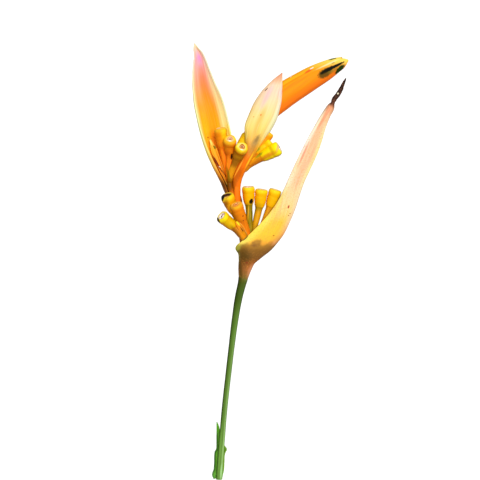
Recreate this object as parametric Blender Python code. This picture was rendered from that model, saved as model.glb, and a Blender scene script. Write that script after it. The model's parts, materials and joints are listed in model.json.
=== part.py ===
"""Parrot heliconia flower, cut with its stem and lying on a level surface at z = 0.

The tip points to +Y and the side that faces up is +Z. The axis of the flower zigzags between three
boat-shaped bracts, each with its cluster of ripening fruits, and one flower is still open.
All sizes and places are in millimetres, and the meshes are made in metres.
"""
import bpy
import bmesh
import numpy as np

MILLIMETRE = 0.001
UP = np.array((0.0, 0.0, 1.0))

BRACT_WALL = 0.7
UPPER_BRACT_WALL = 0.65
SHEATH_WALL = 0.65
PERIANTH_WALL = 0.65
SCALE_WALL = 0.65
RIM_BULGE = 0.3
SOLID_TIP = 0.1
OPEN_TIP = 0.5
BRACT_STEP = 3.2
BRACT_COLUMNS = 12
PERIANTH_STEP = 2.8
BOAT_COLUMNS = 12
SEPAL_COLUMNS = 7
BOAT_TURN = 118.0
SEAM_WIDTH = 0.85
MEAN_REACH = 0.9
SCALE_COLUMNS = 5
SCALE_STEP = 2.4
STEM_STEP = 4.0
STEM_SIDES = 12
FLORET_SIDES = 9
LOBES = 3
LOBE_HEIGHT = 0.05
LOBE_REACH = 9.0
STUB_SIDES = 8
ROUTE_STEP = 0.25
SOFT_EDGE = np.radians(50.0)

# Stem and zigzag axis: x, y, z, radius. The step near y = -8.5 is the seat of the lowest bract.
STEM = (
    (-25.6, -109.2, 2.65, 1.45),
    (-24.4, -94.0, 2.70, 1.45),
    (-22.8, -74.0, 3.00, 1.45),
    (-21.0, -59.0, 3.40, 1.47),
    (-19.3, -44.0, 4.00, 1.50),
    (-17.4, -29.0, 4.70, 1.68),
    (-15.2, -16.0, 5.40, 1.90),
    (-14.1, -10.5, 5.75, 2.10),
    (-13.75, -8.7, 5.88, 2.20),
    (-13.7, -8.3, 5.90, 1.42),
    (-13.4, -2.0, 5.80, 1.38),
    (-13.3, 3.5, 5.65, 1.35),
    (-13.9, 11.0, 5.25, 1.40),
    (-14.9, 19.0, 5.20, 1.50),
    (-16.1, 27.0, 5.30, 1.65),
    (-16.6, 34.0, 5.75, 1.58),
    (-16.7, 40.0, 6.00, 1.40),
    (-15.6, 44.0, 6.15, 1.30),
    (-14.2, 47.2, 6.25, 1.20),
)

# The tables of the shells hold, for each station: the keel's x, y, z; the centre's x, y, z; the half
# width on the minus and on the plus side; the depth of the roof past the centre; and how far the wall
# turns up from the keel on the minus and on the plus side, in degrees.

# The sheath lies under the stem. Its minus side is the left one, which ends in a tongue.
LEAF_SHEATH = (
    (-26.0, -109.0, -0.10, -26.0, -109.0, 2.4, 2.4, 2.4, 2.0, 112, 60),
    (-25.8, -107.0, -0.10, -25.8, -107.0, 2.4, 3.3, 2.5, 2.0, 112, 62),
    (-25.4, -104.5, -0.10, -25.4, -104.5, 2.4, 2.9, 2.6, 2.0, 112, 66),
    (-25.1, -101.0, -0.10, -25.1, -101.0, 2.4, 2.95, 2.5, 2.0, 112, 68),
    (-24.9, -97.6, -0.10, -24.9, -97.6, 2.5, 3.1, 2.45, 2.0, 112, 66),
    (-24.8, -95.6, -0.10, -24.8, -95.6, 2.5, 3.0, 2.7, 2.0, 110, 72),
    (-24.7, -94.1, 0.00, -24.7, -94.1, 2.5, 2.3, 3.3, 1.8, 105, 74),
    (-24.7, -92.6, 0.05, -24.7, -92.6, 2.5, 2.2, 2.8, 1.6, 100, 48),
    (-24.9, -91.2, 0.10, -24.9, -91.2, 2.5, 2.0, 2.2, 1.4, 95, 22),
    (-25.4, -88.0, 0.30, -25.4, -88.0, 2.5, 1.5, 1.4, 1.2, 88, 25),
    (-25.8, -84.0, 0.60, -25.8, -84.0, 2.5, 1.05, 1.0, 0.9, 84, 35),
    (-26.3, -81.8, 1.10, -26.3, -81.8, 2.5, 0.55, 0.5, 0.5, 84, 60),
    (-26.7, -80.3, 1.90, -26.7, -80.3, 2.4, 0.12, 0.12, 0.2, 84, 84),
)

# The lowest bract shows its side. The plus side is the upper one. The last six stations are its dry tip.
LOWER_BRACT = (
    (-11.2, -7.9, 6.0, -13.7, -7.9, 6.0, 2.50, 2.50, 2.45, 172, 172),
    (-9.6, -4.0, 6.0, -12.9, -3.6, 6.0, 2.90, 2.90, 3.32, 172, 172),
    (-7.3, -0.4, 6.0, -11.75, 0.9, 6.0, 3.60, 3.60, 4.20, 168, 168),
    (-5.7, 0.9, 6.0, -11.4, 2.6, 6.0, 3.95, 3.95, 4.90, 160, 160),
    (-3.9, 2.4, 6.0, -10.87, 4.65, 6.0, 4.30, 4.30, 7.70, 150, 150),
    (-0.2, 5.3, 6.0, -9.46, 8.9, 6.0, 4.80, 4.80, 9.94, 118, 118),
    (3.2, 9.0, 6.0, -6.1, 14.3, 6.0, 4.80, 4.80, 10.7, 104, 104),
    (7.0, 14.0, 6.0, -2.1, 19.8, 6.0, 4.50, 4.50, 10.8, 98, 98),
    (10.0, 20.0, 6.1, 1.35, 24.9, 6.0, 4.00, 4.00, 9.9, 95, 95),
    (12.5, 26.0, 6.2, 4.2, 29.6, 6.0, 3.50, 3.50, 9.0, 93, 93),
    (14.6, 32.5, 6.4, 7.2, 35.45, 5.9, 3.10, 3.10, 8.0, 92, 92),
    (17.0, 39.5, 6.6, 10.25, 42.05, 5.8, 2.80, 2.80, 7.2, 92, 92),
    (20.4, 46.8, 6.8, 13.65, 49.45, 5.7, 2.60, 2.60, 7.2, 92, 92),
    (23.6, 54.0, 7.0, 17.1, 56.5, 5.6, 2.40, 2.40, 7.0, 92, 92),
    (26.0, 60.8, 7.1, 20.5, 63.1, 5.6, 2.10, 2.10, 6.0, 92, 92),
    (27.8, 67.0, 7.2, 23.7, 68.9, 5.8, 1.70, 1.70, 4.5, 92, 92),
    (30.0, 72.6, 7.3, 26.7, 74.5, 6.2, 1.30, 1.30, 3.8, 92, 92),
    (32.1, 77.0, 7.3, 29.5, 78.8, 6.6, 0.95, 0.95, 3.0, 92, 92),
    (32.3, 79.3, 7.2, 30.7, 80.0, 6.9, 0.55, 0.55, 1.7, 90, 90),
    (32.4, 81.2, 7.6, 30.7, 81.3, 7.0, 0.55, 0.55, 1.7, 90, 90),
    (34.2, 84.0, 7.2, 32.3, 85.0, 7.6, 0.55, 0.55, 2.1, 90, 90),
    (35.9, 87.3, 7.0, 34.5, 88.1, 7.6, 0.50, 0.50, 1.6, 90, 90),
    (37.2, 90.0, 7.2, 36.4, 90.5, 7.5, 0.45, 0.45, 1.0, 90, 90),
    (38.2, 92.0, 7.4, 38.0, 92.2, 7.5, 0.15, 0.15, 0.3, 90, 90),
)

# The left bract lies on its keel with its mouth up. The minus side is the left one.
LEFT_BRACT = (
    (-18.3, 28.5, 3.5, -16.4, 28.5, 5.4, 2.80, 2.80, 2.5, 75, 130),
    (-20.0, 32.0, 3.2, -17.3, 32.0, 5.7, 3.40, 3.40, 2.8, 75, 112),
    (-22.0, 36.3, 2.8, -18.9, 36.0, 5.9, 3.90, 3.90, 3.0, 95, 90),
    (-23.4, 41.8, 2.1, -20.6, 41.3, 5.9, 4.60, 4.60, 3.2, 125, 86),
    (-25.4, 50.0, 0.95, -23.4, 49.5, 5.9, 5.90, 5.90, 3.5, 130, 98),
    (-27.0, 58.3, 0.2, -25.9, 58.0, 6.0, 6.90, 6.90, 3.8, 128, 112),
    (-28.6, 68.1, -0.1, -28.3, 68.0, 6.0, 7.45, 7.45, 4.0, 132, 118),
    (-30.7, 78.0, -0.1, -30.7, 78.0, 6.1, 7.20, 7.20, 4.0, 132, 132),
    (-33.1, 88.0, 1.0, -33.1, 88.0, 6.3, 5.75, 5.75, 3.4, 128, 128),
    (-34.6, 97.0, 2.6, -34.6, 97.0, 6.6, 4.10, 4.10, 2.6, 120, 120),
    (-35.7, 103.0, 4.4, -35.7, 103.0, 6.9, 2.55, 2.55, 1.8, 110, 110),
    (-37.2, 107.0, 5.9, -37.2, 107.0, 7.1, 1.15, 1.15, 0.8, 100, 100),
    (-37.8, 109.2, 6.95, -37.8, 109.2, 7.2, 0.20, 0.20, 0.2, 95, 95),
)

# The upper bract turns its keel up. The plus side is the left one.
UPPER_BRACT = (
    (-16.0, 42.0, 8.35, -16.3, 42.0, 6.1, 2.35, 2.35, 1.5, 100, 100),
    (-14.1, 46.4, 8.6, -14.5, 46.5, 6.3, 2.40, 2.40, 1.5, 100, 100),
    (-11.6, 50.9, 9.0, -12.0, 51.0, 6.6, 2.45, 2.45, 1.4, 98, 98),
    (-9.2, 55.3, 9.7, -9.8, 55.5, 7.0, 2.80, 2.80, 1.2, 96, 96),
    (-7.2, 60.7, 11.0, -7.9, 61.0, 7.6, 4.30, 4.30, 1.2, 95, 95),
    (-5.4, 66.9, 12.0, -6.0, 67.0, 8.1, 6.30, 6.30, 1.2, 92, 92),
    (-2.3, 73.9, 12.4, -2.9, 74.0, 8.3, 6.80, 6.80, 1.2, 92, 92),
    (0.5, 80.9, 12.1, 0.0, 81.0, 8.4, 6.00, 6.00, 1.2, 92, 92),
    (2.8, 87.0, 11.4, 2.5, 87.0, 8.8, 3.90, 3.90, 1.0, 92, 92),
    (4.4, 91.0, 10.6, 4.3, 91.0, 9.2, 2.07, 2.07, 0.8, 92, 92),
    (5.95, 94.1, 10.1, 5.9, 94.1, 9.85, 0.20, 0.20, 0.2, 92, 92),
)

# Middle line of the open flower: x, y, z, half width in the level plane, half height.
OPEN_FLOWER = (
    (-13.2, 61.9, 4.10, 1.7, 1.7),
    (-12.0, 63.3, 4.05, 2.3, 2.0),
    (-8.0, 67.5, 3.80, 3.4, 2.8),
    (-3.0, 73.0, 3.55, 5.0, 3.3),
    (3.5, 79.0, 3.42, 6.2, 3.5),
    (10.0, 84.0, 3.40, 6.35, 3.5),
    (16.5, 88.25, 3.5, 6.0, 3.4),
    (23.0, 92.25, 3.6, 5.5, 3.15),
    (28.5, 95.5, 3.8, 4.8, 2.8),
    (33.0, 98.25, 4.0, 3.7, 2.3),
    (37.0, 100.25, 4.2, 2.3, 1.6),
    (39.2, 101.2, 4.3, 0.4, 0.5),
)

# Outline of a fruit on its stalk: distance from its end, radius.
FRUIT_OUTLINE = (
    (0.0, 2.55),
    (0.4, 3.05),
    (1.3, 3.2),
    (4.0, 3.1),
    (7.0, 2.75),
    (9.5, 2.4),
    (10.6, 2.1),
    (13.5, 1.65),
    (17.0, 1.4),
    (21.0, 1.1),
    (26.0, 0.95),
    (45.0, 0.9),
)
SCAR_RADIUS = 1.3
SCAR_HEIGHT = 0.12
SCAR_PIT = 0.3

# Routes of the fruits, each from its root to its end, with its size beside a full one.
LOWER_FRUITS = (
    (1.0, ((-9.8, 10.5, 6.2), (-9.6, 17.0, 5.9), (-10.1, 27.5, 5.8), (-10.75, 37.2, 6.2))),
    (1.0, ((-9.0, 10.8, 6.0), (-7.3, 19.0, 5.6), (-5.3, 28.0, 5.6), (-4.15, 35.8, 6.0))),
    (1.0, ((-8.2, 11.2, 6.0), (-3.9, 20.5, 5.4), (-0.7, 28.5, 5.4), (2.35, 36.1, 5.8))),
    (1.0, (
        (-11.3, 9.3, 6.9), (-12.8, 11.6, 8.15), (-15.3, 14.6, 9.6),
        (-18.8, 18.3, 10.0), (-22.4, 21.3, 10.9), (-24.3, 23.0, 12.6),
    )),
    (1.0, (
        (-11.0, 9.8, 6.8), (-12.3, 12.6, 7.9), (-14.0, 16.6, 9.1),
        (-17.2, 24.0, 9.9), (-19.7, 30.1, 11.0), (-20.8, 33.2, 12.9),
    )),
    (1.0, (
        (-10.4, 10.5, 6.8), (-11.6, 14.8, 8.0), (-13.2, 19.5, 10.6), (-15.3, 24.2, 12.9), (-17.1, 28.2, 16.3),
    )),
)
LEFT_FRUITS = (
    (1.0, ((-20.4, 37.2, 6.3), (-21.6, 45.5, 5.6), (-23.3, 55.0, 6.2), (-24.7, 66.6, 9.6))),
    (1.0, (
        (-20.2, 37.4, 6.5), (-20.6, 45.0, 6.8), (-20.2, 52.0, 7.4), (-20.1, 57.9, 9.7), (-19.9, 61.2, 13.4),
    )),
    (1.0, (
        (-20.0, 37.6, 6.7), (-19.9, 43.0, 7.4), (-17.5, 49.3, 8.8), (-15.2, 54.7, 11.4), (-13.9, 57.2, 15.7),
    )),
)
UPPER_FRUITS = (
    (1.1, ((-14.4, 44.0, 3.5), (-10.4, 48.4, 3.8), (-5.4, 52.0, 5.4), (4.6, 57.3, 7.6))),
    (1.0, ((-14.1, 44.5, 3.4), (-10.2, 49.8, 3.3), (-6.0, 54.8, 3.6), (0.4, 60.4, 3.8))),
    (0.75, ((-13.8, 45.0, 3.5), (-9.2, 51.5, 3.6), (-5.4, 58.0, 3.8), (-1.6, 64.6, 3.9))),
    (0.82, ((-14.2, 45.0, 3.6), (-15.2, 51.0, 3.2), (-14.9, 56.0, 3.4), (-13.6, 60.9, 4.0))),
)

# The short shared stalk of each cluster: x, y, z, radius.
LOWER_STUB = ((-10.3, 6.5, 5.9, 1.4), (-10.2, 9.0, 6.2, 1.5), (-10.0, 12.0, 6.5, 1.4))
LEFT_STUB = ((-19.9, 35.6, 6.2, 0.95), (-20.0, 37.4, 6.3, 1.0), (-20.2, 39.5, 6.5, 1.0))
UPPER_STUB = ((-15.3, 41.5, 3.3, 0.95), (-14.4, 44.0, 3.5, 1.0), (-13.2, 47.0, 3.7, 0.95))

# Scales between the fruits, in the columns of the shells.
LOWER_SCALE = (
    (-11.0, 10.4, 6.6, -11.0, 10.4, 7.9, 0.9, 0.9, 0.8, 80, 80),
    (-12.3, 13.4, 8.4, -12.3, 13.4, 9.7, 1.2, 1.2, 1.0, 80, 80),
    (-14.6, 17.2, 10.8, -14.6, 17.2, 12.1, 1.5, 1.5, 1.0, 80, 80),
    (-16.7, 20.4, 11.6, -16.7, 20.4, 12.8, 1.1, 1.1, 0.9, 80, 80),
)
LEFT_SCALE = (
    (-20.6, 38.2, 5.6, -20.6, 38.2, 6.6, 0.8, 0.8, 0.8, 80, 80),
    (-22.9, 43.5, 4.9, -22.9, 43.5, 6.2, 1.2, 1.2, 1.0, 80, 80),
    (-25.3, 49.0, 4.3, -25.3, 49.0, 5.7, 1.5, 1.5, 1.0, 80, 80),
    (-27.7, 55.0, 4.0, -27.7, 55.0, 5.4, 1.6, 1.6, 1.0, 80, 80),
    (-30.0, 61.4, 4.4, -30.0, 61.4, 5.2, 0.4, 0.4, 0.5, 70, 70),
)


def normalised(vectors):
    """Vectors at length one."""
    return vectors / np.linalg.norm(vectors, axis=-1, keepdims=True)


def slopes_at(knots, values, held):
    """Slope of each column at each knot: the weighted mean of both sides. A held column takes the
    harmonic mean, or zero where the sides differ in sign, so that it never overshoots its stations."""
    steps = np.diff(knots)[:, None]
    chords = np.diff(values, axis=0) / steps
    before = chords[:-1]
    after = chords[1:]
    mean = (before * steps[1:] + after * steps[:-1]) / (steps[1:] + steps[:-1])
    product = before * after
    total = np.where(product > 0, before + after, 1.0)
    harmonic = np.where(product > 0, 2 * product / total, 0.0)
    inner = np.where(held, harmonic, mean)
    return np.vstack((chords[:1], inner, chords[-1:]))


def smooth(rows, step, places=3):
    """Stations read at every step or closer along a cubic Hermite curve through all the rows. The first
    columns, as many as places says, are positions; the others are held between their stations."""
    values = np.array(rows, dtype=float)
    middle = values[:, :places].reshape(len(values), -1, 3).mean(axis=1)
    lengths = np.linalg.norm(np.diff(middle, axis=0), axis=1)
    knots = np.concatenate(([0.0], np.cumsum(lengths)))
    slopes = slopes_at(knots, values, np.arange(values.shape[1]) >= places)
    stretches = []
    for index, length in enumerate(lengths):
        count = max(1, int(np.ceil(length / step)))
        share = np.arange(count)[:, None] / count
        rise = share * share * (3 - 2 * share)
        leave = share * (1 - share) ** 2 * length
        arrive = share * share * (share - 1) * length
        start = values[index]
        end = values[index + 1]
        stretches.append(start + (end - start) * rise + slopes[index] * leave + slopes[index + 1] * arrive)
    stretches.append(values[-1:])
    return np.vstack(stretches)


def section(angle, half, depth, roof, inset):
    """Reach to the side and height above the keel of a boat's section: half an ellipse as deep as the
    keel up to a quarter turn, then an ellipse as deep as the roof. Inset draws it inwards."""
    sideways = (half - inset) * np.sin(angle)
    lower = inset + (depth - inset) * (1 - np.cos(angle))
    upper = depth - (roof - inset) * np.cos(angle)
    return sideways, np.where(np.abs(angle) <= np.pi / 2, lower, upper)


def shell_rings(rows, wall, step, columns):
    """Rings of a boat-shaped shell, one at each station read along it. A ring runs over the outside,
    round one rim, back over the inside and round the other rim. Where the shell is slim, the inside
    closes to the straight line between the rims, which makes the tip solid."""
    table = smooth(rows, step, places=6)
    keel = table[:, 0:3]
    centre = table[:, 3:6]
    half_minus, half_plus, roof, turn_minus, turn_plus = table[:, 6:11].T[:, :, None]
    depth = np.linalg.norm(centre - keel, axis=1)[:, None]
    across = normalised(centre - keel)
    along = normalised(np.gradient((keel + centre) / 2, axis=0))
    side = normalised(np.cross(along, across))
    share = np.linspace(-1.0, 1.0, columns)
    angle = np.radians(share * np.where(share < 0, turn_minus, turn_plus))
    half = np.where(angle < 0, half_minus, half_plus)
    slim = np.minimum(half_minus, half_plus)
    inset = np.minimum(wall, 0.5 * np.minimum(slim, depth))
    filled = np.clip((wall + OPEN_TIP - slim) / (OPEN_TIP - SOLID_TIP), 0.0, 1.0)[:, :, None]

    def place(sideways, height):
        return keel[:, None] + height[:, :, None] * across[:, None] + sideways[:, :, None] * side[:, None]

    outer = place(*section(angle, half, depth, roof, 0.0))
    inner = place(*section(angle, half, depth, np.maximum(roof, inset), inset))
    chord = inner[:, :1] + (inner[:, -1:] - inner[:, :1]) * np.linspace(0.0, 1.0, columns)[None, :, None]
    inner = inner + (chord - inner) * filled
    rims = []
    for last, before in ((-1, -2), (0, 1)):
        outwards = normalised(outer[:, last] - outer[:, before])
        rims.append((outer[:, last] + inner[:, last]) / 2 + RIM_BULGE * inset * outwards)
    return np.concatenate((outer, rims[0][:, None], inner[:, ::-1], rims[1][:, None]), axis=1)


def shell_faces(count, columns):
    """Triangles of a shell's rings, split alike on the outside and the inside, with a strip across the
    wall at each end."""
    loop = 2 * columns + 2
    faces = []
    for ring in range(count - 1):
        for point in range(loop):
            here = ring * loop + point
            after = ring * loop + (point + 1) % loop
            if point < columns:
                faces.append((here, after, after + loop))
                faces.append((here, after + loop, here + loop))
            else:
                faces.append((here, after, here + loop))
                faces.append((after, after + loop, here + loop))
    for first in (0, (count - 1) * loop):
        for column in range(columns - 1):
            mate = 2 * columns - column
            faces.append((first + column, first + column + 1, first + mate - 1))
            faces.append((first + column, first + mate - 1, first + mate))
        faces.append((first + columns - 1, first + columns, first + columns + 1))
        faces.append((first, first + 2 * columns, first + 2 * columns + 1))
    return faces


def skin_faces(count, sides):
    """Faces that join rings of points one to the next, with a fan to a pole before the first ring and
    another past the last. The two poles are the last two points."""
    faces = []
    for ring in range(count - 1):
        for side in range(sides):
            here = ring * sides + side
            after = ring * sides + (side + 1) % sides
            faces.append((here, after, after + sides, here + sides))
    last_ring = (count - 1) * sides
    for side in range(sides):
        after = (side + 1) % sides
        faces.append((count * sides, after, side))
        faces.append((count * sides + 1, last_ring + side, last_ring + after))
    return faces


def round_rings(centres, radii, sides, lobes=0.0):
    """Rings of points across a path, with lobes raised round each ring by the share given for it."""
    along = normalised(np.gradient(centres, axis=0))
    level = normalised(np.cross(along, UP))
    upright = np.cross(level, along)
    turn = 2 * np.pi * np.arange(sides) / sides
    swell = 1 + np.reshape(lobes, (-1, 1)) * np.cos(LOBES * turn)
    reach = (radii[:, None] * swell)[:, :, None]
    spokes = np.cos(turn)[:, None] * level[:, None] + np.sin(turn)[:, None] * upright[:, None]
    return centres[:, None] + reach * spokes


def make_body(name, points, faces, colour, roughness):
    """Closed mesh object with its faces pointing out and a material of its own."""
    mesh = bpy.data.meshes.new(name)
    mesh.from_pydata((points.reshape(-1, 3) * MILLIMETRE).tolist(), [], faces)
    shape = bmesh.new()
    shape.from_mesh(mesh)
    bmesh.ops.recalc_face_normals(shape, faces=shape.faces)
    shape.to_mesh(mesh)
    shape.free()
    body = bpy.data.objects.new(name, mesh)
    bpy.context.scene.collection.objects.link(body)
    give_material(body, colour, roughness)
    return body


def give_material(body, colour, roughness):
    """One plain finish for the whole body, shaded smooth but for its sharp edges."""
    material = bpy.data.materials.new(body.name)
    material.use_nodes = True
    shader = material.node_tree.nodes["Principled BSDF"]
    shader.inputs["Base Color"].default_value = (*colour, 1.0)
    shader.inputs["Roughness"].default_value = roughness
    shader.inputs["Metallic"].default_value = 0.0
    body.data.materials.clear()
    body.data.materials.append(material)
    body.data.shade_smooth()
    body.data.set_sharp_from_angle(angle=SOFT_EDGE)


def make_shell(name, rows, wall, step, columns, colour, roughness=0.5):
    """Boat-shaped shell through its stations."""
    rings = shell_rings(rows, wall, step, columns)
    return make_body(name, rings, shell_faces(len(rings), columns), colour, roughness)


def make_tube(name, rows, step, sides, colour, roughness=0.5):
    """Round stalk through its stations, with flat ends."""
    table = smooth(rows, step)
    rings = round_rings(table[:, :3], table[:, 3], sides)
    points = np.vstack((rings.reshape(-1, 3), table[0, :3], table[-1, :3]))
    return make_body(name, points, skin_faces(len(rings), sides), colour, roughness)


def make_fruit(name, size, route, colour, roughness=0.4):
    """Three-lobed fruit on its stalk. The outline is read by the distance from the fruit's end, and the
    end has a low ring round a pit, where the withered flower dropped off."""
    path = smooth(route, ROUTE_STEP)[::-1]
    travelled = np.concatenate(([0.0], np.cumsum(np.linalg.norm(np.diff(path, axis=0), axis=1))))
    outline = np.array(FRUIT_OUTLINE) * size
    kept = outline[:, 0] < travelled[-1] - size
    distances = np.append(outline[kept, 0], travelled[-1])
    radii = np.interp(distances, outline[:, 0], outline[:, 1])
    centres = np.column_stack([np.interp(distances, travelled, column) for column in path.T])
    lobes = LOBE_HEIGHT * np.clip(1 - distances / (LOBE_REACH * size), 0.0, 1.0)
    rings = round_rings(centres, radii, FLORET_SIDES, lobes)
    outwards = normalised(centres[0] - centres[1])
    scar = centres[0] + (rings[0] - centres[0]) * (SCAR_RADIUS * size / radii[0])
    scar = scar + SCAR_HEIGHT * size * outwards
    rings = np.concatenate((scar[None], rings))
    pit = centres[0] - SCAR_PIT * size * outwards
    points = np.vstack((rings.reshape(-1, 3), pit, centres[-1]))
    return make_body(name, points, skin_faces(len(rings), FLORET_SIDES), colour, roughness)


def fuse(name, pieces, colour, roughness=0.4):
    """One body from pieces that grow into each other, by a Boolean union that is applied."""
    group = bpy.data.collections.new(name)
    bpy.context.scene.collection.children.link(group)
    for piece in pieces[1:]:
        group.objects.link(piece)
    union = pieces[0].modifiers.new("grown_together", "BOOLEAN")
    union.operation = "UNION"
    union.operand_type = "COLLECTION"
    union.collection = group
    union.solver = "EXACT"
    graph = bpy.context.evaluated_depsgraph_get()
    mesh = bpy.data.meshes.new_from_object(pieces[0].evaluated_get(graph))
    for piece in pieces:
        bpy.data.objects.remove(piece)
    bpy.data.collections.remove(group)
    body = bpy.data.objects.new(name, mesh)
    bpy.context.scene.collection.objects.link(body)
    mesh.name = name
    give_material(body, colour, roughness)
    return body


def rest_flat(body):
    """Cut away what reaches below z = 0, which leaves a small flat spot to lie on."""
    shape = bmesh.new()
    shape.from_mesh(body.data)
    everything = shape.verts[:] + shape.edges[:] + shape.faces[:]
    cut = bmesh.ops.bisect_plane(
        shape, geom=everything, plane_co=(0, 0, 0), plane_no=(0, 0, 1), dist=1e-7, clear_inner=True
    )
    edges = [item for item in cut["geom_cut"] if isinstance(item, bmesh.types.BMEdge)]
    bmesh.ops.triangle_fill(shape, use_beauty=True, use_dissolve=False, edges=edges, normal=(0, 0, -1))
    bmesh.ops.recalc_face_normals(shape, faces=shape.faces)
    shape.to_mesh(body.data)
    shape.free()


def flower_rows(keel_side, turns):
    """Stations of a part of the open flower. Its keel lies half a width to the keel side of the middle
    line, which is +1 for the upper left edge and -1 for the lower right one."""
    table = np.array(OPEN_FLOWER)
    middle = table[:, :3]
    in_plane = table[:, 3:4]
    upright = table[:, 4:5]
    along = normalised(np.gradient(middle, axis=0))
    leftwards = normalised(np.cross(UP, along))
    keel = middle + keel_side * in_plane * leftwards
    turns = np.reshape(turns, (-1, 1)) * np.ones_like(in_plane)
    return np.hstack((keel, middle, upright, upright, in_plane, turns, turns))


def make_open_flower():
    """Boat of five joined petals along the lower edge, and the free petal over its mouth. The free one
    stops short of the boat's rims by the seam, and short of its tip."""
    orange = (0.95, 0.36, 0.02)
    boat = make_shell(
        "open_flower_boat", flower_rows(-1, BOAT_TURN), PERIANTH_WALL, PERIANTH_STEP, BOAT_COLUMNS, orange
    )
    rest_flat(boat)
    widths = np.array(OPEN_FLOWER)[:, 3]
    turns = 180.0 - BOAT_TURN - np.degrees(SEAM_WIDTH / (MEAN_REACH * widths))
    rows = flower_rows(1, turns)[1:-1]
    make_shell("open_flower_petal", rows, PERIANTH_WALL, PERIANTH_STEP, SEPAL_COLUMNS, orange)


def make_cluster(name, stub, fruits, scale_rows, colour):
    """Fruits on one short stalk, with the scale that grew beside them, as one body."""
    pieces = [make_tube(name + "_stub", stub, STEM_STEP, STUB_SIDES, colour)]
    for index, (size, route) in enumerate(fruits):
        pieces.append(make_fruit(f"{name}_{index}", size, route, colour))
    if scale_rows:
        pieces.append(make_shell(name + "_scale", scale_rows, SCALE_WALL, SCALE_STEP, SCALE_COLUMNS, colour))
    return fuse(name, pieces, colour)


def main():
    for thing in list(bpy.data.objects):
        bpy.data.objects.remove(thing)
    green = (0.16, 0.30, 0.05)
    peach = (0.95, 0.58, 0.20)
    yellow = (0.95, 0.60, 0.04)
    make_tube("stem", STEM, STEM_STEP, STEM_SIDES, green)
    sheath = make_shell("leaf_sheath", LEAF_SHEATH, SHEATH_WALL, BRACT_STEP, BRACT_COLUMNS, green)
    rest_flat(sheath)
    make_shell("bract_lower", LOWER_BRACT, BRACT_WALL, BRACT_STEP, BRACT_COLUMNS, peach)
    left = make_shell("bract_left", LEFT_BRACT, BRACT_WALL, BRACT_STEP, BRACT_COLUMNS, peach)
    rest_flat(left)
    make_shell("bract_upper", UPPER_BRACT, UPPER_BRACT_WALL, BRACT_STEP, BRACT_COLUMNS, peach)
    make_cluster("fruits_lower", LOWER_STUB, LOWER_FRUITS, LOWER_SCALE, yellow)
    make_cluster("fruits_left", LEFT_STUB, LEFT_FRUITS, LEFT_SCALE, yellow)
    make_cluster("fruits_upper", UPPER_STUB, UPPER_FRUITS, None, yellow)
    make_open_flower()


main()
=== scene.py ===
"""Looks of a cut parrot heliconia that lies on its side: fine surfaces, finishes, floor, light and camera.

Sizes, places and tables are in millimetres, and meshes are made in metres. +Y points to the flower's tip,
+X to the side of the lowest bract and +Z up. Colours are screen colours from 0 to 255.
"""
import json

import bpy
import numpy as np
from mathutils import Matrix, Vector
from mathutils.bvhtree import BVHTree

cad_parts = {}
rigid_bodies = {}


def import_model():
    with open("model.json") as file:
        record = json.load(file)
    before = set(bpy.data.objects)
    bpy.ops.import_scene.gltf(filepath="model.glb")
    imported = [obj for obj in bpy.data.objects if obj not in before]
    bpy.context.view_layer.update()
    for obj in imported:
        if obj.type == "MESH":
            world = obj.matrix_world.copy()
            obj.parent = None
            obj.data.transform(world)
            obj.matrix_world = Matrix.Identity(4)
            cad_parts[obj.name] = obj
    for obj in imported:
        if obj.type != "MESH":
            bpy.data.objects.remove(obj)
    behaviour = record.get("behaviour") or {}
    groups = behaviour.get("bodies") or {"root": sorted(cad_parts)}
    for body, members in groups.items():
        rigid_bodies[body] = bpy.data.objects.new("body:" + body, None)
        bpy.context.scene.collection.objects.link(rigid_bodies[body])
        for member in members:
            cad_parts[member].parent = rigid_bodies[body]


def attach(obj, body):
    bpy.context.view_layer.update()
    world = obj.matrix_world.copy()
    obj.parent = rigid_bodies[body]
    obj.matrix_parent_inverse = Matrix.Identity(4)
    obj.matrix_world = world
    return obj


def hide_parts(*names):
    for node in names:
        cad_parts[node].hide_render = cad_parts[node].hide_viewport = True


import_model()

MILLIMETRE = 0.001
UP = np.array((0.0, 0.0, 1.0))

# Walls of the shells, as in the solids. A rim bulges out by its share of the wall. A shell is solid where
# its half width passes the wall by SOLID_TIP or less, and quite open from OPEN_TIP on.
BRACT_WALL = 0.7
THIN_WALL = 0.65
RIM_BULGE = 0.3
OPEN_TIP = 0.5
SOLID_TIP = 0.1

# The boat of the open flower turns up this many degrees from its keel. The free petal fills the rest but
# for a seam, which is measured on a circle with MEAN_REACH of the half width as its radius.
BOAT_TURN = 128.0
SEAM_WIDTH = 0.3
MEAN_REACH = 0.9

# Relief of the shells: heights, and the spacing of veins and ribs round the shell.
VEIN_HEIGHT = 0.03
VEIN_STEP = 1.7
BRACT_UNEVEN = 0.09
RIM_WAVE = 0.14
DRY_CRUMPLE = 0.2
RIM_BEND = 1.3
MIDRIB_HEIGHT = 0.14
MIDRIB_WIDTH = 0.7
CREASE_DEPTH = 0.2
PETAL_RIB_HEIGHT = 0.08
PETAL_RIB_STEP = 3.4
PETAL_UNEVEN = 0.05
SCALE_UNEVEN = 0.1

# Grooves of the stem, as a share of its radius.
STEM_GROOVES = 0.012

# Relief of a full fruit, as shares of its radius, with the places where it stands, from the fruit's end.
LOBES = 3
LOBE_HEIGHT = 0.05
LOBE_REACH = 9.0
END_DEPTH = 0.5
SCALLOPS = 7
SCALLOP_HEIGHT = 0.022
SHOULDER_LENGTH = 0.9
WAIST_AT = 3.7
WAIST_SLANT = 0.5
WAIST_LENGTH = 0.75
WAIST_DEPTH = 0.05
WRINKLE_HEIGHT = 0.02
ORANGE_STALK_SWELL = 0.17

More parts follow.
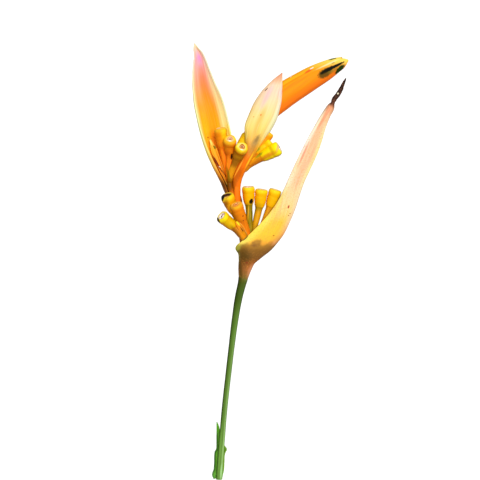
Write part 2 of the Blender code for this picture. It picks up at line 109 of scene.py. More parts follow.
# Distance from a fruit's end past which its outline is read in longer steps, how far short of its root
# the stalk ends, how far ahead its direction is taken, and the reach that colours a shared stalk.
STALK_FROM = 13.5
ROOT_GAP = 0.4
LOOK_AHEAD = 0.05
SHARED_REACH = 25.0

# Distance along the lowest bract at which its dry tip starts.
DRY_FROM = 96.6

# Fineness of the surfaces.
SHELL_STEP = 0.6
SHELL_COLUMNS = 73
SCALE_COLUMNS = 25
RIM_TURNS = np.radians((45.0, 90.0, 135.0))
STEM_STEP = 0.8
STEM_SIDES = 48
FRUIT_SIDES = 40
ROUTE_STEP = 0.25
BODY_STEP = 0.22
STALK_STEP = 0.6

# Camera, the level plane in which marks are placed as the camera sees them, and their half depth.
CAMERA_PLACE = (-15.0, 11.0, 1006.0)
CAMERA_LENS = 150.0
CAMERA_SENSOR = 36.0
CAMERA_SIGHT = 20000.0
MARK_PLANE = 6.0
MARK_DEPTH = 2.5

# Studio: the side turned from the light, the lights, and the floor's grey as it throws light back and as
# the camera sees it.
SHADY_SIDE = np.array((-0.62, -0.55, -0.56))
KEY_FROM = (0.20, 0.22, 0.95)
KEY_STRENGTH = 2.9
KEY_SPREAD = 36.0
FLOOR_STRENGTH = 3.4
FLOOR_SPREAD = 2.0
FLOOR_REACH = 6000.0
FLOOR_THROWN = (0.36, 0.36, 0.36, 1.0)
FLOOR_SEEN = (0.92, 0.92, 0.92, 1.0)
WORLD_LIGHT = 0.32

# Finishes: coordinates of the grain on a shell and on a round part, roughness of the coat and of the
# noise, how fine and how strong the raggedness of the marks is, depth of the fine bumps, and stretch of
# the streaks and of the bracts' fibres along the grain, across it and through it.
SHELL_GRAIN = ("along", "girth", "inside")
ROUND_GRAIN = ("along", "round_x", "round_y")
COAT_ROUGHNESS = 0.2
NOISE_ROUGHNESS = 0.55
RAGGED_STRETCH = (1.3, 1.3, 1.3)
RAGGED_AMOUNT = 0.7
BUMP_DEPTH = 0.12
FINE_STREAKS = (0.06, 2.4, 4.0)
BROAD_STREAKS = (0.04, 0.7, 9.0)
BRACT_FIBRES = (0.1, 2.6, 4.0)

# Stem and zigzag axis: x, y, z, radius. It is widest where the lowest and the upper bract grow out of it,
# with the first station of each bract hidden inside.
STEM = (
    (-25.6, -109.2, 2.65, 1.45),
    (-24.4, -94.0, 2.70, 1.45),
    (-22.8, -74.0, 3.00, 1.45),
    (-21.15, -59.0, 3.40, 1.47),
    (-19.4, -44.0, 4.00, 1.52),
    (-17.5, -29.0, 4.70, 1.70),
    (-15.3, -16.0, 5.40, 1.98),
    (-13.95, -10.5, 5.75, 2.18),
    (-13.5, -8.4, 5.88, 2.38),
    (-13.45, -7.7, 5.90, 2.36),
    (-13.4, -7.0, 5.90, 1.42),
    (-13.4, -2.0, 5.80, 1.38),
    (-13.3, 3.5, 5.65, 1.35),
    (-13.9, 11.0, 5.25, 1.40),
    (-14.9, 19.0, 5.20, 1.50),
    (-16.1, 26.0, 5.30, 1.75),
    (-16.7, 32.5, 5.75, 1.95),
    (-16.75, 36.5, 5.95, 2.00),
    (-16.6, 40.0, 6.05, 1.85),
    (-15.6, 44.0, 6.15, 1.50),
    (-14.2, 47.2, 6.25, 1.20),
)

# The tables of the shells hold, for each station: the keel's x, y, z; the centre's x, y, z; the half
# width on the minus and on the plus side; the depth of the roof past the centre; and how far the wall
# turns up from the keel on the minus and on the plus side, in degrees.

# The sheath lies under the stem. Its minus side is the left one, which ends in a tongue.
LEAF_SHEATH = (
    (-26.0, -109.0, -0.10, -26.0, -109.0, 2.4, 2.4, 2.4, 2.0, 112, 60),
    (-25.8, -107.0, -0.10, -25.8, -107.0, 2.4, 3.3, 2.5, 2.0, 112, 62),
    (-25.4, -104.5, -0.10, -25.4, -104.5, 2.4, 2.9, 2.6, 2.0, 112, 66),
    (-25.1, -101.0, -0.10, -25.1, -101.0, 2.4, 2.95, 2.5, 2.0, 112, 68),
    (-24.9, -97.6, -0.10, -24.9, -97.6, 2.5, 3.1, 2.45, 2.0, 112, 66),
    (-24.8, -95.6, -0.10, -24.8, -95.6, 2.5, 3.0, 2.7, 2.0, 110, 72),
    (-24.7, -94.1, 0.00, -24.7, -94.1, 2.5, 2.3, 3.3, 1.8, 105, 74),
    (-24.7, -92.6, 0.05, -24.7, -92.6, 2.5, 2.2, 2.8, 1.6, 100, 48),
    (-24.9, -91.2, 0.10, -24.9, -91.2, 2.5, 2.0, 2.2, 1.4, 95, 22),
    (-25.4, -88.0, 0.30, -25.4, -88.0, 2.5, 1.5, 1.4, 1.2, 88, 25),
    (-25.8, -84.0, 0.60, -25.8, -84.0, 2.5, 1.05, 1.0, 0.9, 84, 35),
    (-26.3, -81.8, 1.10, -26.3, -81.8, 2.5, 0.55, 0.5, 0.5, 84, 60),
    (-26.7, -80.3, 1.90, -26.7, -80.3, 2.4, 0.12, 0.12, 0.2, 84, 84),
)

# The lowest bract shows its side. The plus side is the upper one. The last six stations are its dry tip.
LOWER_BRACT = (
    (-11.25, -9.0, 6.0, -13.5, -9.0, 6.0, 2.15, 2.15, 2.15, 172, 172),
    (-9.3, -4.0, 6.0, -12.6, -3.6, 6.0, 2.90, 2.90, 3.32, 172, 172),
    (-7.3, -0.4, 6.0, -11.75, 0.9, 6.0, 3.60, 3.60, 4.20, 168, 168),
    (-5.7, 0.9, 6.0, -11.4, 2.6, 6.0, 3.95, 3.95, 4.90, 160, 160),
    (-3.9, 2.4, 6.0, -10.87, 4.65, 6.0, 4.30, 4.30, 7.70, 150, 150),
    (-0.2, 5.3, 6.0, -9.46, 8.9, 6.0, 4.80, 4.80, 9.94, 118, 118),
    (3.2, 9.0, 6.0, -6.1, 14.3, 6.0, 4.80, 4.80, 10.7, 104, 104),
    (7.0, 14.0, 6.0, -2.1, 19.8, 6.0, 4.50, 4.50, 10.8, 98, 98),
    (10.0, 20.0, 6.1, 1.35, 24.9, 6.0, 4.00, 4.00, 9.9, 95, 95),
    (12.5, 26.0, 6.2, 4.2, 29.6, 6.0, 3.50, 3.50, 9.0, 93, 93),
    (14.6, 32.5, 6.4, 7.2, 35.45, 5.9, 3.10, 3.10, 8.0, 92, 92),
    (17.0, 39.5, 6.6, 10.25, 42.05, 5.8, 2.80, 2.80, 7.2, 92, 92),
    (20.4, 46.8, 6.8, 13.65, 49.45, 5.7, 2.60, 2.60, 7.2, 92, 92),
    (23.6, 54.0, 7.0, 17.1, 56.5, 5.6, 2.40, 2.40, 7.0, 92, 92),
    (26.0, 60.8, 7.1, 20.5, 63.1, 5.6, 2.10, 2.10, 6.0, 92, 92),
    (27.8, 67.0, 7.2, 23.7, 68.9, 5.8, 1.70, 1.70, 4.5, 92, 92),
    (30.0, 72.6, 7.3, 26.7, 74.5, 6.2, 1.30, 1.30, 3.8, 92, 92),
    (32.1, 77.0, 7.3, 29.5, 78.8, 6.6, 0.95, 0.95, 3.0, 92, 92),
    (32.3, 79.3, 7.2, 30.7, 80.0, 6.9, 0.55, 0.55, 1.7, 90, 90),
    (33.1, 80.6, 7.6, 31.2, 81.8, 7.0, 0.60, 0.60, 2.1, 90, 90),
    (35.2, 83.6, 7.2, 33.4, 84.8, 7.6, 0.60, 0.60, 2.1, 90, 90),
    (36.7, 86.7, 7.0, 35.2, 87.7, 7.5, 0.50, 0.50, 1.7, 90, 90),
    (37.6, 89.7, 7.2, 36.6, 90.3, 7.5, 0.40, 0.40, 1.1, 90, 90),
    (38.2, 92.0, 7.4, 38.0, 92.2, 7.5, 0.15, 0.15, 0.3, 90, 90),
)

# The left bract lies on its keel with its mouth up. The minus side is the left one.
LEFT_BRACT = (
    (-17.2, 24.5, 4.2, -16.2, 24.5, 5.3, 1.45, 1.45, 1.3, 75, 130),
    (-18.3, 28.5, 3.5, -16.4, 28.5, 5.4, 2.80, 2.80, 2.5, 75, 130),
    (-20.0, 32.0, 3.2, -17.3, 32.0, 5.7, 3.40, 3.40, 2.8, 75, 112),
    (-22.0, 36.3, 2.8, -18.9, 36.0, 5.9, 3.90, 3.90, 3.0, 95, 90),
    (-23.4, 41.8, 2.1, -20.6, 41.3, 5.9, 4.60, 4.60, 3.2, 108, 86),
    (-25.4, 50.0, 0.95, -23.4, 49.5, 5.9, 5.90, 5.90, 3.5, 114, 92),
    (-27.0, 58.3, 0.2, -25.9, 58.0, 6.0, 6.90, 6.70, 3.8, 116, 90),
    (-28.6, 68.1, -0.1, -28.3, 68.0, 6.0, 7.45, 6.75, 4.0, 114, 86),
    (-30.7, 78.0, -0.1, -30.7, 78.0, 6.1, 7.20, 6.45, 4.0, 108, 84),
    (-33.1, 88.0, 1.0, -33.1, 88.0, 6.3, 5.75, 5.30, 3.4, 104, 84),
    (-34.6, 97.0, 2.6, -34.6, 97.0, 6.6, 4.10, 3.80, 2.6, 100, 84),
    (-35.7, 103.0, 4.4, -35.7, 103.0, 6.9, 2.55, 2.45, 1.8, 98, 86),
    (-37.2, 107.0, 5.9, -37.2, 107.0, 7.1, 1.15, 1.15, 0.8, 100, 100),
    (-37.8, 109.2, 6.95, -37.8, 109.2, 7.2, 0.20, 0.20, 0.2, 95, 95),
)

# The upper bract turns its keel up. The plus side is the left one.
UPPER_BRACT = (
    (-16.7, 31.5, 6.9, -16.7, 31.5, 5.7, 1.20, 1.20, 1.0, 100, 100),
    (-16.7, 36.6, 7.85, -16.75, 36.6, 5.95, 1.90, 1.90, 1.5, 100, 100),
    (-16.0, 42.0, 8.35, -16.3, 42.0, 6.1, 2.35, 2.35, 1.5, 100, 100),
    (-14.1, 46.4, 8.6, -14.5, 46.5, 6.3, 2.40, 2.40, 1.5, 100, 100),
    (-11.6, 50.9, 9.0, -12.0, 51.0, 6.6, 2.45, 2.45, 1.4, 98, 98),
    (-9.2, 55.3, 9.7, -9.8, 55.5, 7.0, 2.80, 2.80, 1.2, 96, 96),
    (-7.2, 60.7, 11.0, -7.9, 61.0, 7.6, 4.30, 4.75, 1.2, 95, 92),
    (-5.4, 66.9, 12.0, -6.0, 67.0, 8.1, 6.30, 6.90, 1.2, 92, 88),
    (-2.3, 73.9, 12.4, -2.9, 74.0, 8.3, 6.80, 7.10, 1.2, 92, 90),
    (0.5, 80.9, 12.1, 0.0, 81.0, 8.4, 6.00, 6.00, 1.2, 92, 92),
    (2.8, 87.0, 11.4, 2.5, 87.0, 8.8, 3.90, 3.90, 1.0, 92, 92),
    (4.4, 91.0, 10.6, 4.3, 91.0, 9.2, 2.07, 2.07, 0.8, 92, 92),
    (5.95, 94.1, 10.1, 5.9, 94.1, 9.85, 0.20, 0.20, 0.2, 92, 92),
)

# Middle line of the open flower: x, y, z, half width in the level plane, half height.
OPEN_FLOWER = (
    (-13.0, 62.2, 4.10, 0.3, 0.3),
    (-12.8, 62.4, 4.10, 1.0, 1.0),
    (-12.3, 62.9, 4.10, 1.6, 1.7),
    (-11.5, 63.7, 4.05, 1.9, 2.1),
    (-8.2, 67.9, 3.80, 3.0, 2.8),
    (-3.5, 73.8, 3.55, 5.0, 3.3),
    (2.8, 80.1, 3.42, 6.2, 3.5),
    (9.3, 85.1, 3.40, 6.35, 3.5),
    (15.9, 89.2, 3.5, 6.0, 3.4),
    (22.5, 93.1, 3.6, 5.5, 3.15),
    (28.2, 96.1, 3.8, 4.8, 2.8),
    (32.9, 98.6, 4.0, 3.75, 2.3),
    (37.0, 100.5, 4.2, 2.4, 1.6),
    (39.2, 101.2, 4.3, 0.4, 0.5),
)

# Outline of a fruit on its stalk: radius, distance from its end. It starts in the pit at the middle of the
# end, where the withered flower dropped off, and crosses the raised scar.
FRUIT_OUTLINE = (
    (0.0, 0.10),
    (0.22, 0.12),
    (0.42, 0.34),
    (0.75, 0.36),
    (0.95, 0.02),
    (1.2, -0.16),
    (1.45, -0.05),
    (1.7, 0.10),
    (2.1, 0.04),
    (2.5, 0.04),
    (2.86, 0.25),
    (3.08, 0.7),
    (3.2, 1.4),
    (3.18, 2.6),
    (3.08, 4.0),
    (2.92, 5.4),
    (2.72, 6.8),
    (2.45, 7.9),
    (2.12, 8.8),
    (1.84, 9.6),
    (1.72, 10.6),
    (1.68, 13.5),
    (1.5, 17.0),
    (1.2, 21.0),
    (1.0, 26.0),
    (0.9, 45.0),
)

# Each fruit: its size beside a full one; how far its skin has turned from yellow to orange; how far its
# stalk has turned from olive to deep orange; how much painted shade browns its body, which also darkens the
# rim of its scar; how pale its scar is; and its route from root to end.
LOWER_FRUITS = (
    (1.0, 0.20, 0.05, 0.1, 0.4, (
        (-10.0, 10.5, 6.2), (-10.0, 17.0, 5.9), (-10.5, 27.5, 5.4), (-10.85, 37.7, 7.3),
    )),
    (1.0, 0.22, 0.20, 0.1, 0.1, (
        (-9.0, 10.8, 6.0), (-7.3, 19.0, 5.6), (-5.3, 28.0, 5.4), (-4.15, 36.3, 6.8),
    )),
    (1.0, 0.25, 0.55, 0.1, 0.1, (
        (-7.4, 11.2, 6.0), (-2.6, 20.5, 5.4), (0.4, 28.5, 5.2), (2.75, 36.2, 6.5),
    )),
    (1.0, 0.12, 0.70, 0.4, 1.0, (
        (-11.3, 9.3, 6.9), (-12.8, 11.6, 8.15), (-15.3, 14.6, 9.6),
        (-18.8, 18.3, 10.0), (-22.4, 21.3, 10.9), (-24.3, 23.0, 12.6),
    )),
    (1.05, 0.45, 0.50, 0.5, 0.0, (
        (-11.0, 9.8, 6.8), (-12.3, 12.6, 7.9), (-14.0, 16.6, 9.1),
        (-17.2, 24.0, 9.9), (-20.3, 30.1, 10.8), (-21.7, 33.2, 12.6),
    )),
    (1.0, 1.00, 0.95, 0.2, 0.0, (
        (-10.4, 10.5, 6.8), (-11.6, 14.8, 8.0), (-13.2, 19.5, 10.6),
        (-15.2, 24.1, 13.2), (-17.0, 28.8, 15.6),
    )),
)
LEFT_FRUITS = (
    (1.0, 0.95, 1.00, 0.0, 0.0, (
        (-20.4, 37.2, 6.3), (-21.6, 45.5, 5.6), (-23.3, 55.0, 6.2), (-24.7, 66.6, 9.6),
    )),
    (1.0, 1.00, 1.00, 0.2, 0.2, (
        (-20.2, 37.4, 6.5), (-20.6, 45.0, 6.8), (-20.2, 52.0, 7.4),
        (-20.1, 57.9, 9.7), (-19.9, 61.2, 13.4),
    )),
    (1.0, 0.35, 0.60, 1.0, 0.0, (
        (-20.0, 37.6, 6.7), (-19.9, 43.0, 7.4), (-17.5, 49.3, 8.8),
        (-15.2, 54.7, 11.4), (-13.9, 57.2, 15.7),
    )),
)
UPPER_FRUITS = (
    (1.1, 0.00, 0.60, 0.1, 0.8, (
        (-14.4, 44.0, 3.5), (-10.7, 48.7, 3.8), (-5.3, 51.9, 5.4), (4.7, 57.2, 7.6),
    )),
    (1.0, 0.20, 0.70, 0.2, 0.2, (
        (-14.1, 44.5, 3.4), (-10.2, 49.8, 3.3), (-6.0, 54.8, 3.6), (0.4, 60.4, 3.8),
    )),
    (0.95, 0.80, 0.80, 0.1, 0.1, (
        (-13.8, 45.0, 3.5), (-9.0, 51.5, 3.6), (-4.8, 58.0, 3.8), (-0.5, 65.0, 3.9),
    )),
    (0.92, 0.10, 0.40, 0.0, 0.0, (
        (-14.2, 45.0, 3.6), (-15.7, 51.0, 3.0), (-14.5, 57.6, 3.2), (-10.9, 63.7, 3.7),
    )),
)

# The short shared stalk of each cluster: x, y, z, radius.
LOWER_STUB = (
    (-13.2, 3.0, 5.6, 0.9), (-10.6, 6.5, 5.9, 1.4), (-10.2, 9.0, 6.2, 1.5), (-10.0, 12.0, 6.5, 1.4),
)
LEFT_STUB = (
    (-17.2, 31.5, 5.8, 0.9), (-19.1, 34.8, 6.1, 1.3), (-20.0, 37.4, 6.3, 1.4), (-20.2, 40.5, 6.5, 1.2),
)
UPPER_STUB = (
    (-16.5, 38.0, 5.2, 0.9), (-15.4, 41.0, 3.9, 1.1), (-14.4, 44.0, 3.5, 1.1), (-13.2, 47.0, 3.7, 0.95),
)

# Scales between the fruits, in the columns of the shells.
LOWER_SCALE = (
    (-11.0, 10.4, 6.6, -11.0, 10.4, 7.9, 0.9, 0.9, 0.8, 80, 80),
    (-12.3, 13.4, 8.4, -12.3, 13.4, 9.7, 1.2, 1.2, 1.0, 80, 80),
    (-14.6, 17.2, 10.8, -14.6, 17.2, 12.1, 1.5, 1.5, 1.0, 80, 80),
    (-16.7, 20.4, 11.6, -16.7, 20.4, 12.8, 1.1, 1.1, 0.9, 80, 80),
)
LEFT_SCALE = (
    (-20.6, 38.2, 5.6, -20.6, 38.2, 6.6, 0.8, 0.8, 0.8, 80, 80),
    (-22.9, 43.5, 4.9, -22.9, 43.5, 6.2, 1.2, 1.2, 1.0, 80, 80),
    (-25.3, 49.0, 4.3, -25.3, 49.0, 5.7, 1.5, 1.5, 1.0, 80, 80),
    (-27.7, 55.0, 4.0, -27.7, 55.0, 5.4, 1.6, 1.6, 1.0, 80, 80),
    (-30.0, 61.4, 4.4, -30.0, 61.4, 5.2, 0.4, 0.4, 0.5, 70, 70),
)

# Colours along the flower: stops of y and of colour. The neck, where the lowest bract grows out of the
# stalk, is coloured alike on both.
NECK = (
    (-14.0, (68, 92, 26)), (-10.5, (76, 88, 24)), (-8.2, (108, 100, 34)), (-6.0, (154, 106, 46)),
    (-4.0, (184, 108, 50)),
)
STALK_GREEN = (
    (-109.0, (100, 142, 60)), (-96.0, (96, 134, 54)), (-84.0, (94, 132, 50)), (-59.0, (96, 132, 50)),
    (-28.0, (88, 122, 42)), (-18.0, (68, 92, 24)),
)
AXIS_ORANGE = (
    (-8.0, (190, 108, 40)), (12.0, (205, 112, 24)), (24.0, (240, 118, 18)), (31.0, (250, 122, 16)),
    (40.0, (248, 126, 18)), (48.0, (250, 132, 20)),
)
LOWER_KEEL = (
    (0.0, (164, 94, 36)), (5.3, (168, 112, 54)), (9.5, (206, 138, 70)), (14.0, (250, 176, 96)),
    (20.0, (252, 214, 166)), (32.5, (250, 224, 178)), (46.8, (254, 242, 158)), (61.0, (254, 232, 154)),
    (67.0, (250, 226, 168)), (72.6, (228, 178, 136)), (77.0, (178, 122, 92)),
)
LOWER_FLANK = (
    (-1.0, (140, 80, 28)), (2.5, (112, 74, 20)), (6.0, (172, 116, 34)), (9.0, (254, 184, 54)),
    (14.0, (254, 198, 50)), (20.0, (252, 196, 56)), (26.0, (252, 210, 122)), (32.5, (250, 210, 150)),
    (40.0, (252, 202, 156)), (50.0, (253, 202, 156)), (61.0, (253, 190, 144)), (67.0, (250, 190, 146)),
    (72.6, (246, 190, 142)), (77.0, (216, 150, 104)),
)
LOWER_RIM = (
    (2.0, (150, 148, 58)), (6.0, (214, 196, 84)), (9.5, (254, 232, 100)), (15.0, (254, 222, 76)),
    (24.0, (252, 224, 92)), (33.0, (234, 208, 116)), (40.0, (246, 228, 190)), (48.0, (250, 220, 170)),
    (57.0, (250, 236, 212)), (66.0, (252, 238, 216)), (71.0, (244, 212, 170)), (77.0, (150, 94, 62)),
)
DRY_TIP = ((78.0, (96, 52, 32)), (82.0, (52, 30, 22)), (90.0, (30, 18, 14)))
# Left bract: the dark brown stops near the base, up to y 43, are painted shade of the crevice among the
# stalks.
LEFT_MIDDLE = (
    (36.0, (118, 68, 8)), (43.0, (190, 112, 16)), (50.0, (246, 146, 16)), (58.0, (255, 156, 10)),
    (70.0, (254, 156, 8)), (78.0, (255, 150, 14)), (84.0, (254, 142, 40)), (89.0, (255, 136, 74)),
    (93.0, (255, 136, 98)), (97.0, (255, 152, 138)), (99.5, (255, 166, 184)), (102.5, (255, 156, 212)),
    (105.0, (255, 190, 196)), (108.0, (254, 232, 186)),
)
LEFT_SIDES = (
    (36.0, (118, 68, 8)), (43.0, (206, 122, 16)), (48.0, (250, 146, 20)), (58.0, (255, 176, 16)),
    (66.0, (254, 184, 20)), (72.0, (254, 174, 30)), (78.0, (254, 164, 54)), (84.0, (254, 168, 100)),
    (90.0, (254, 168, 134)), (96.0, (254, 176, 162)), (102.0, (254, 176, 192)), (105.0, (254, 198, 182)),
    (108.0, (254, 232, 186)),
)
LEFT_RIM = (
    (28.0, (110, 60, 10)), (34.0, (150, 84, 12)), (38.5, (134, 76, 10)), (43.0, (226, 136, 26)),
    (48.5, (253, 196, 78)), (54.0, (254, 222, 104)), (62.0, (254, 246, 156)), (70.0, (253, 248, 166)),
    (82.0, (254, 242, 170)), (92.0, (254, 238, 190)), (100.0, (254, 226, 204)), (105.0, (254, 206, 184)),
    (108.0, (252, 226, 176)),
)
UPPER_MIDDLE = (
    (36.0, (246, 116, 12)), (44.0, (248, 116, 12)), (50.0, (246, 116, 12)), (55.0, (240, 136, 24)),
    (58.5, (248, 182, 60)), (62.0, (251, 204, 90)), (67.0, (254, 220, 118)), (73.0, (254, 224, 142)),
    (79.0, (253, 222, 168)), (85.0, (254, 216, 186)), (88.0, (253, 216, 180)), (90.5, (246, 184, 144)),
    (93.5, (226, 150, 112)),
)
UPPER_LEFT = (
    (36.0, (186, 98, 14)), (48.0, (236, 130, 18)), (56.0, (252, 184, 36)), (62.0, (254, 226, 108)),
    (68.0, (254, 240, 136)), (76.0, (254, 216, 132)), (84.0, (252, 220, 176)), (92.5, (251, 208, 160)),
)
UPPER_RIGHT = (
    (36.0, (250, 126, 14)), (50.0, (254, 142, 18)), (57.0, (254, 200, 50)), (62.0, (253, 232, 150)),
    (68.0, (253, 248, 186)), (76.0, (253, 247, 208)), (84.0, (254, 228, 206)), (89.0, (253, 222, 182)),
    (92.5, (248, 188, 140)),
)

# Colours across the sheath, from its left edge to its right one.
SHEATH_TONES = (
    (-1.0, (50, 100, 20)), (-0.86, (78, 142, 28)), (-0.5, (116, 186, 52)), (-0.2, (126, 196, 72)),
    (0.4, (100, 158, 52)), (1.0, (124, 168, 40)),
)

# Colours across the boat's petals and the free petal of the open flower, from keel to rim.
PETAL = (
    (0.0, (255, 122, 34)), (0.2, (255, 120, 24)), (0.42, (254, 122, 20)), (0.56, (255, 140, 16)),
    (0.7, (255, 150, 16)), (0.86, (255, 150, 16)), (1.0, (254, 160, 18)),
)
LID = ((0.0, (254, 156, 24)), (0.4, (254, 176, 26)), (0.7, (254, 186, 30)), (1.0, (254, 172, 24)))

# Colours of a fruit's scar, by its reach: the radius on its end, and from there on the way down its side.
SCAR = (
    (0.0, (50, 22, 8)), (0.34, (92, 40, 12)), (0.52, (200, 116, 56)), (0.7, (246, 196, 140)),
    (0.88, (240, 176, 110)), (1.08, (172, 80, 24)), (1.25, (244, 160, 44)), (1.55, (254, 216, 100)),
    (2.0, (254, 230, 120)), (2.5, (254, 218, 50)),
)

# Colours of the fruits' stalks, by how far they have turned orange.
STALK = (
    (0.0, (140, 126, 10)), (0.25, (172, 136, 8)), (0.5, (214, 150, 10)), (0.75, (244, 146, 14)),
    (1.0, (254, 128, 14)),
)

# Colours of a fruit's body, and of its end, by how far it is ripe.
SKIN = ((0.0, (254, 226, 6)), (0.2, (254, 192, 6)), (0.6, (254, 172, 10)), (1.0, (254, 140, 14)))
END = ((0.0, (254, 240, 24)), (0.2, (254, 216, 26)), (0.6, (254, 206, 30)), (1.0, (254, 178, 30)))

# Colours along a scale between the fruits, by the distance from its root.
SCALE_TONES = (
    (0.0, (110, 90, 10)), (5.0, (226, 134, 16)), (12.0, (254, 152, 20)), (20.0, (254, 180, 34)),
    (27.0, (253, 214, 100)),
)

# Colours by name.
WHITE = (255, 250, 244)
CREAM = (254, 244, 206)
PALE_YELLOW = (254, 246, 140)
GOLD = (254, 190, 40)
PEACH = (254, 190, 140)
PINK = (255, 176, 196)
SALMON = (250, 140, 104)
DEEP_ORANGE = (250, 116, 26)
# The orange, umber and brown colours here, rust apart, are laid on as painted shade.
PAINTED_SHADE_ORANGE = (250, 140, 8)
RUST = (160, 84, 24)
PAINTED_SHADE_UMBER = (150, 78, 10)
PAINTED_SHADE_BROWN = (146, 82, 8)
DARK_RED = (128, 38, 12)
DARK_BROWN = (70, 36, 12)
DRY_BROWN = (132, 84, 58)
NEAR_BLACK = (24, 16, 10)
# Colour of a painted shadow near the upper bract's base.
PAINTED_SHADOW_KHAKI = (184, 146, 84)
OLIVE = (120, 108, 24)
LEAF_OLIVE = (150, 160, 30)
BRIGHT_GREEN = (98, 176, 36)
FRESH_GREEN = (104, 168, 60)
DARK_GREEN = (40, 84, 16)


def normalised(vectors):
    """Vectors at length one."""
    return vectors / np.maximum(np.linalg.norm(vectors, axis=-1, keepdims=True), 1e-9)


def ripple(first, second):
    """Smooth unevenness from -1 to 1 over two coordinates: the mean of five slanted sine waves."""
    waves = ((1.0, 0.3, 0.4), (-0.6, 1.1, 2.1), (1.7, 0.8, 4.0), (0.4, -1.9, 5.2), (2.3, -1.4, 1.3))
    return sum(np.sin(a * first + b * second + c) for a, b, c in waves) / len(waves)


def slopes_at(knots, values, held):
    """Slope of each column at each knot: the weighted mean of both sides. A held column takes the
    harmonic mean, or zero where the sides differ in sign, so that it never overshoots its stations."""
    steps = np.diff(knots)[:, None]
    chords = np.diff(values, axis=0) / steps
    before = chords[:-1]
    after = chords[1:]
    mean = (before * steps[1:] + after * steps[:-1]) / (steps[1:] + steps[:-1])
    product = before * after
    total = np.where(product > 0, before + after, 1.0)
    harmonic = np.where(product > 0, 2 * product / total, 0.0)
    inner = np.where(held, harmonic, mean)
    return np.vstack((chords[:1], inner, chords[-1:]))


def smooth(rows, step, places=3):
    """Stations read at every step or closer along a cubic Hermite curve through all the rows. The first
    columns, as many as places says, are positions; the others are held between their stations."""
    values = np.array(rows, dtype=float)
    middle = values[:, :places].reshape(len(values), -1, 3).mean(axis=1)
    lengths = np.linalg.norm(np.diff(middle, axis=0), axis=1)
    knots = np.concatenate(([0.0], np.cumsum(lengths)))
    slopes = slopes_at(knots, values, np.arange(values.shape[1]) >= places)
    stretches = []
    for index, length in enumerate(lengths):
        count = max(1, int(np.ceil(length / step)))
        share = np.arange(count)[:, None] / count
        rise = share * share * (3 - 2 * share)
        leave = share * (1 - share) ** 2 * length
        arrive = share * share * (share - 1) * length
        start = values[index]
        end = values[index + 1]
        stretches.append(start + (end - start) * rise + slopes[index] * leave + slopes[index + 1] * arrive)
    stretches.append(values[-1:])
    return np.vstack(stretches)


def travel(points):
    """Distance travelled along a row of points, from zero at the first."""
    return np.concatenate(([0.0], np.cumsum(np.linalg.norm(np.diff(points, axis=0), axis=1))))


def ring_faces(count, loop):
    """Quads that join count rings of loop points each, one to the next."""
    points = np.arange(count * loop).reshape(count, loop)
    after = np.roll(points, -1, axis=1)
    quads = np.stack((points[:-1], after[:-1], after[1:], points[1:]), axis=-1)
    return quads.reshape(-1, 4).tolist()


def end_faces(first, columns):
    """Faces across the wall at one end of a shell: quads between the two skins and one face in each rim."""
    rim = len(RIM_TURNS)
    loop = 2 * (columns + rim)
    outer = first + np.arange(columns)
    inner = first + 2 * columns + rim - 1 - np.arange(columns)
    quads = np.stack((outer[:-1], outer[1:], inner[1:], inner[:-1]), axis=-1).tolist()
    near = [first + columns - 1 + step for step in range(rim + 2)]
    far = [first + (2 * columns + rim - 1 + step) % loop for step in range(rim + 2)]
    return quads + [near, far]


def rim_points(outer, inner, last, before, inset, turns):
    """Points round one rim: half an ellipse from the outer skin's last column to the inner skin's."""
    outwards = normalised(outer[:, last] - outer[:, before])[:, None]
    middle = ((outer[:, last] + inner[:, last]) / 2)[:, None]
    reach = ((outer[:, last] - inner[:, last]) / 2)[:, None]
    return middle + reach * np.cos(turns) + RIM_BULGE * inset[:, :, None] * outwards * np.sin(turns)


